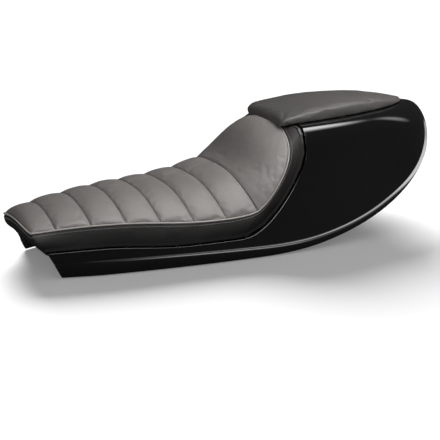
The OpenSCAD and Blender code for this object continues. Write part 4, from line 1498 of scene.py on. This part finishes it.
def make_world():
    """White where it is seen, a faint grey fill on the object."""
    world = bpy.data.worlds.new("studio")
    bpy.context.scene.world = world
    world.use_nodes = True
    tree = world.node_tree
    tree.nodes.clear()
    out = tree.nodes.new("ShaderNodeOutputWorld")
    seen, lit = tree.nodes.new("ShaderNodeBackground"), tree.nodes.new("ShaderNodeBackground")
    seen.inputs["Color"].default_value = (1, 1, 1, 1)
    seen.inputs["Strength"].default_value = 1.0
    lit.inputs["Color"].default_value = (1, 1, 1, 1)
    lit.inputs["Strength"].default_value = WORLD_FILL
    swap = tree.nodes.new("ShaderNodeMixShader")
    tree.links.new(seen_directly(tree), swap.inputs["Fac"])
    tree.links.new(lit.outputs[0], swap.inputs[1])
    tree.links.new(seen.outputs[0], swap.inputs[2])
    tree.links.new(swap.outputs[0], out.inputs["Surface"])


def flag(name, points, gray):
    """A dark card that only mirror reflections see, as a studio flag does."""
    mesh = bpy.data.meshes.new(name)
    mesh.from_pydata(points, [], [(0, 1, 2, 3)])
    obj = bpy.data.objects.new(name, mesh)
    bpy.context.scene.collection.objects.link(obj)
    mesh.materials.append(emitter(name, gray))
    obj.visible_camera = obj.visible_diffuse = obj.visible_shadow = obj.visible_transmission = False
    return obj


def make_flags():
    """Black room round the mirror finish: a ring of walls, a table top and a ceiling."""
    r, low, high = FLAG_REACH, FLAG_FOOT, FLAG_TOP
    corners = [(-r, -r), (r, -r), (r, r), (-r, r)]
    for k in range(4):
        (ax, ay), (bx, by) = corners[k], corners[(k + 1) % 4]
        flag("flag_wall_%d" % k, [(ax, ay, low), (bx, by, low), (bx, by, high), (ax, ay, high)], FLAG_GRAY)
    for name, z in (("flag_table", FLOOR_Z + FLAG_TABLE_LIFT), ("flag_ceiling", high)):
        flag(name, [(x, y, z) for x, y in corners], FLAG_GRAY)


def soft_panel(name, low, high, width, strength, fades):
    """Softbox as mirrors see it: a sheet from low to high that fades at its sides, its foot and its top."""
    low, high = Vector(low), Vector(high)
    tall = (high - low).length
    up = (high - low).normalized()
    side = up.cross(Vector((0, 0, 1))).normalized()
    face = side.cross(up)
    mesh = bpy.data.meshes.new(name)
    w, h = width / 2, tall / 2
    mesh.from_pydata([(-w, -h, 0), (w, -h, 0), (w, h, 0), (-w, h, 0)], [], [(0, 1, 2, 3)])
    obj = bpy.data.objects.new(name, mesh)
    obj.matrix_world = Matrix((side, up, face)).transposed().to_4x4()
    obj.location = (low + high) / 2
    bpy.context.scene.collection.objects.link(obj)
    material = bpy.data.materials.new(name)
    material.use_nodes = True
    tree = material.node_tree
    tree.nodes.clear()
    place = tree.nodes.new("ShaderNodeSeparateXYZ")
    tree.links.new(tree.nodes.new("ShaderNodeTexCoord").outputs["Object"], place.inputs[0])
    total = None
    edges = (("X", -w, -w + fades[0]), ("X", w, w - fades[0]),
             ("Y", -h, -h + fades[1]), ("Y", h, h - fades[2]))
    for axis, start, end in edges:
        rise = tree.nodes.new("ShaderNodeMapRange")
        rise.interpolation_type = "SMOOTHSTEP"
        rise.inputs["From Min"].default_value = start
        rise.inputs["From Max"].default_value = end
        tree.links.new(place.outputs[axis], rise.inputs["Value"])
        if total is None:
            rise.inputs["To Max"].default_value = strength
            total = rise.outputs["Result"]
        else:
            times = tree.nodes.new("ShaderNodeMath")
            times.operation = "MULTIPLY"
            tree.links.new(total, times.inputs[0])
            tree.links.new(rise.outputs["Result"], times.inputs[1])
            total = times.outputs[0]
    glow = tree.nodes.new("ShaderNodeEmission")
    tree.links.new(total, glow.inputs["Strength"])
    tree.links.new(glow.outputs[0], tree.nodes.new("ShaderNodeOutputMaterial").inputs["Surface"])
    mesh.materials.append(material)
    obj.visible_camera = obj.visible_diffuse = obj.visible_shadow = obj.visible_transmission = False
    return obj


def link_light(lamp, obj, state):
    """Keeps a lamp's light to one staged object, or off it; the part still casts its shadow."""
    group = bpy.data.collections.new(lamp.name + "_receivers")
    group.objects.link(obj)
    lamp.light_linking.receiver_collection = group
    group.collection_objects[0].light_linking.link_state = state


def make_camera():
    """The camera solved on the photo: its bearing, its height angle, its distance and its lens."""
    target = Vector(CAMERA_TARGET)
    azimuth, elevation = math.radians(CAMERA_BEARING), math.radians(CAMERA_RISE)
    back = Vector((math.sin(azimuth) * math.cos(elevation), -math.cos(azimuth) * math.cos(elevation),
                   math.sin(elevation)))
    data = bpy.data.cameras.new("photo_camera")
    data.lens, data.sensor_width = CAMERA_LENS, CAMERA_FILM
    cam = bpy.data.objects.new("photo_camera", data)
    cam.location = target + back * CAMERA_DISTANCE
    cam.rotation_euler = (-back).to_track_quat("-Z", "Y").to_euler()
    bpy.context.scene.collection.objects.link(cam)
    bpy.context.scene.camera = cam


make_shell()
make_ribbed()
make_hump()
wall = Wall()
make_band(wall)
make_welt(wall)
make_cross_stitches()
make_top_stitches(wall)
make_pad_cover()
make_foam()
make_fixings()
finish_cad_nodes()

floor = make_floor()
make_world()
make_flags()
softbox = area_light("overhead_softbox", (0.92, -0.42, 1.50), (0.05, 0, 0.12), (1.3, 0.8), 36)
softbox.visible_glossy = False
link_light(softbox, floor, "EXCLUDE")
soft_panel("softbox_face", (0.50, -1.05, 1.02), (0.20, -0.10, 1.78), 2.3, 9.5, (0.45, 0.60, 0.20))
soft_panel("crease_strip", (0.46, -1.38, 0.90), (0.40, -1.14, 1.36), 1.3, 4.5, (0.50, 0.16, 0.16))
soft_panel("side_strip", (-1.45, -0.84, 0.15), (-1.35, -0.78, 1.1), 0.9, 8.0, (0.3, 0.15, 0.4))
link_light(sun_light("floor_lamp", FLOOR_LIGHT_FROM, FLOOR_LIGHT_SPREAD, FLOOR_LIGHT), floor, "INCLUDE")
make_camera()
scene = bpy.context.scene
scene.view_settings.view_transform = "Standard"
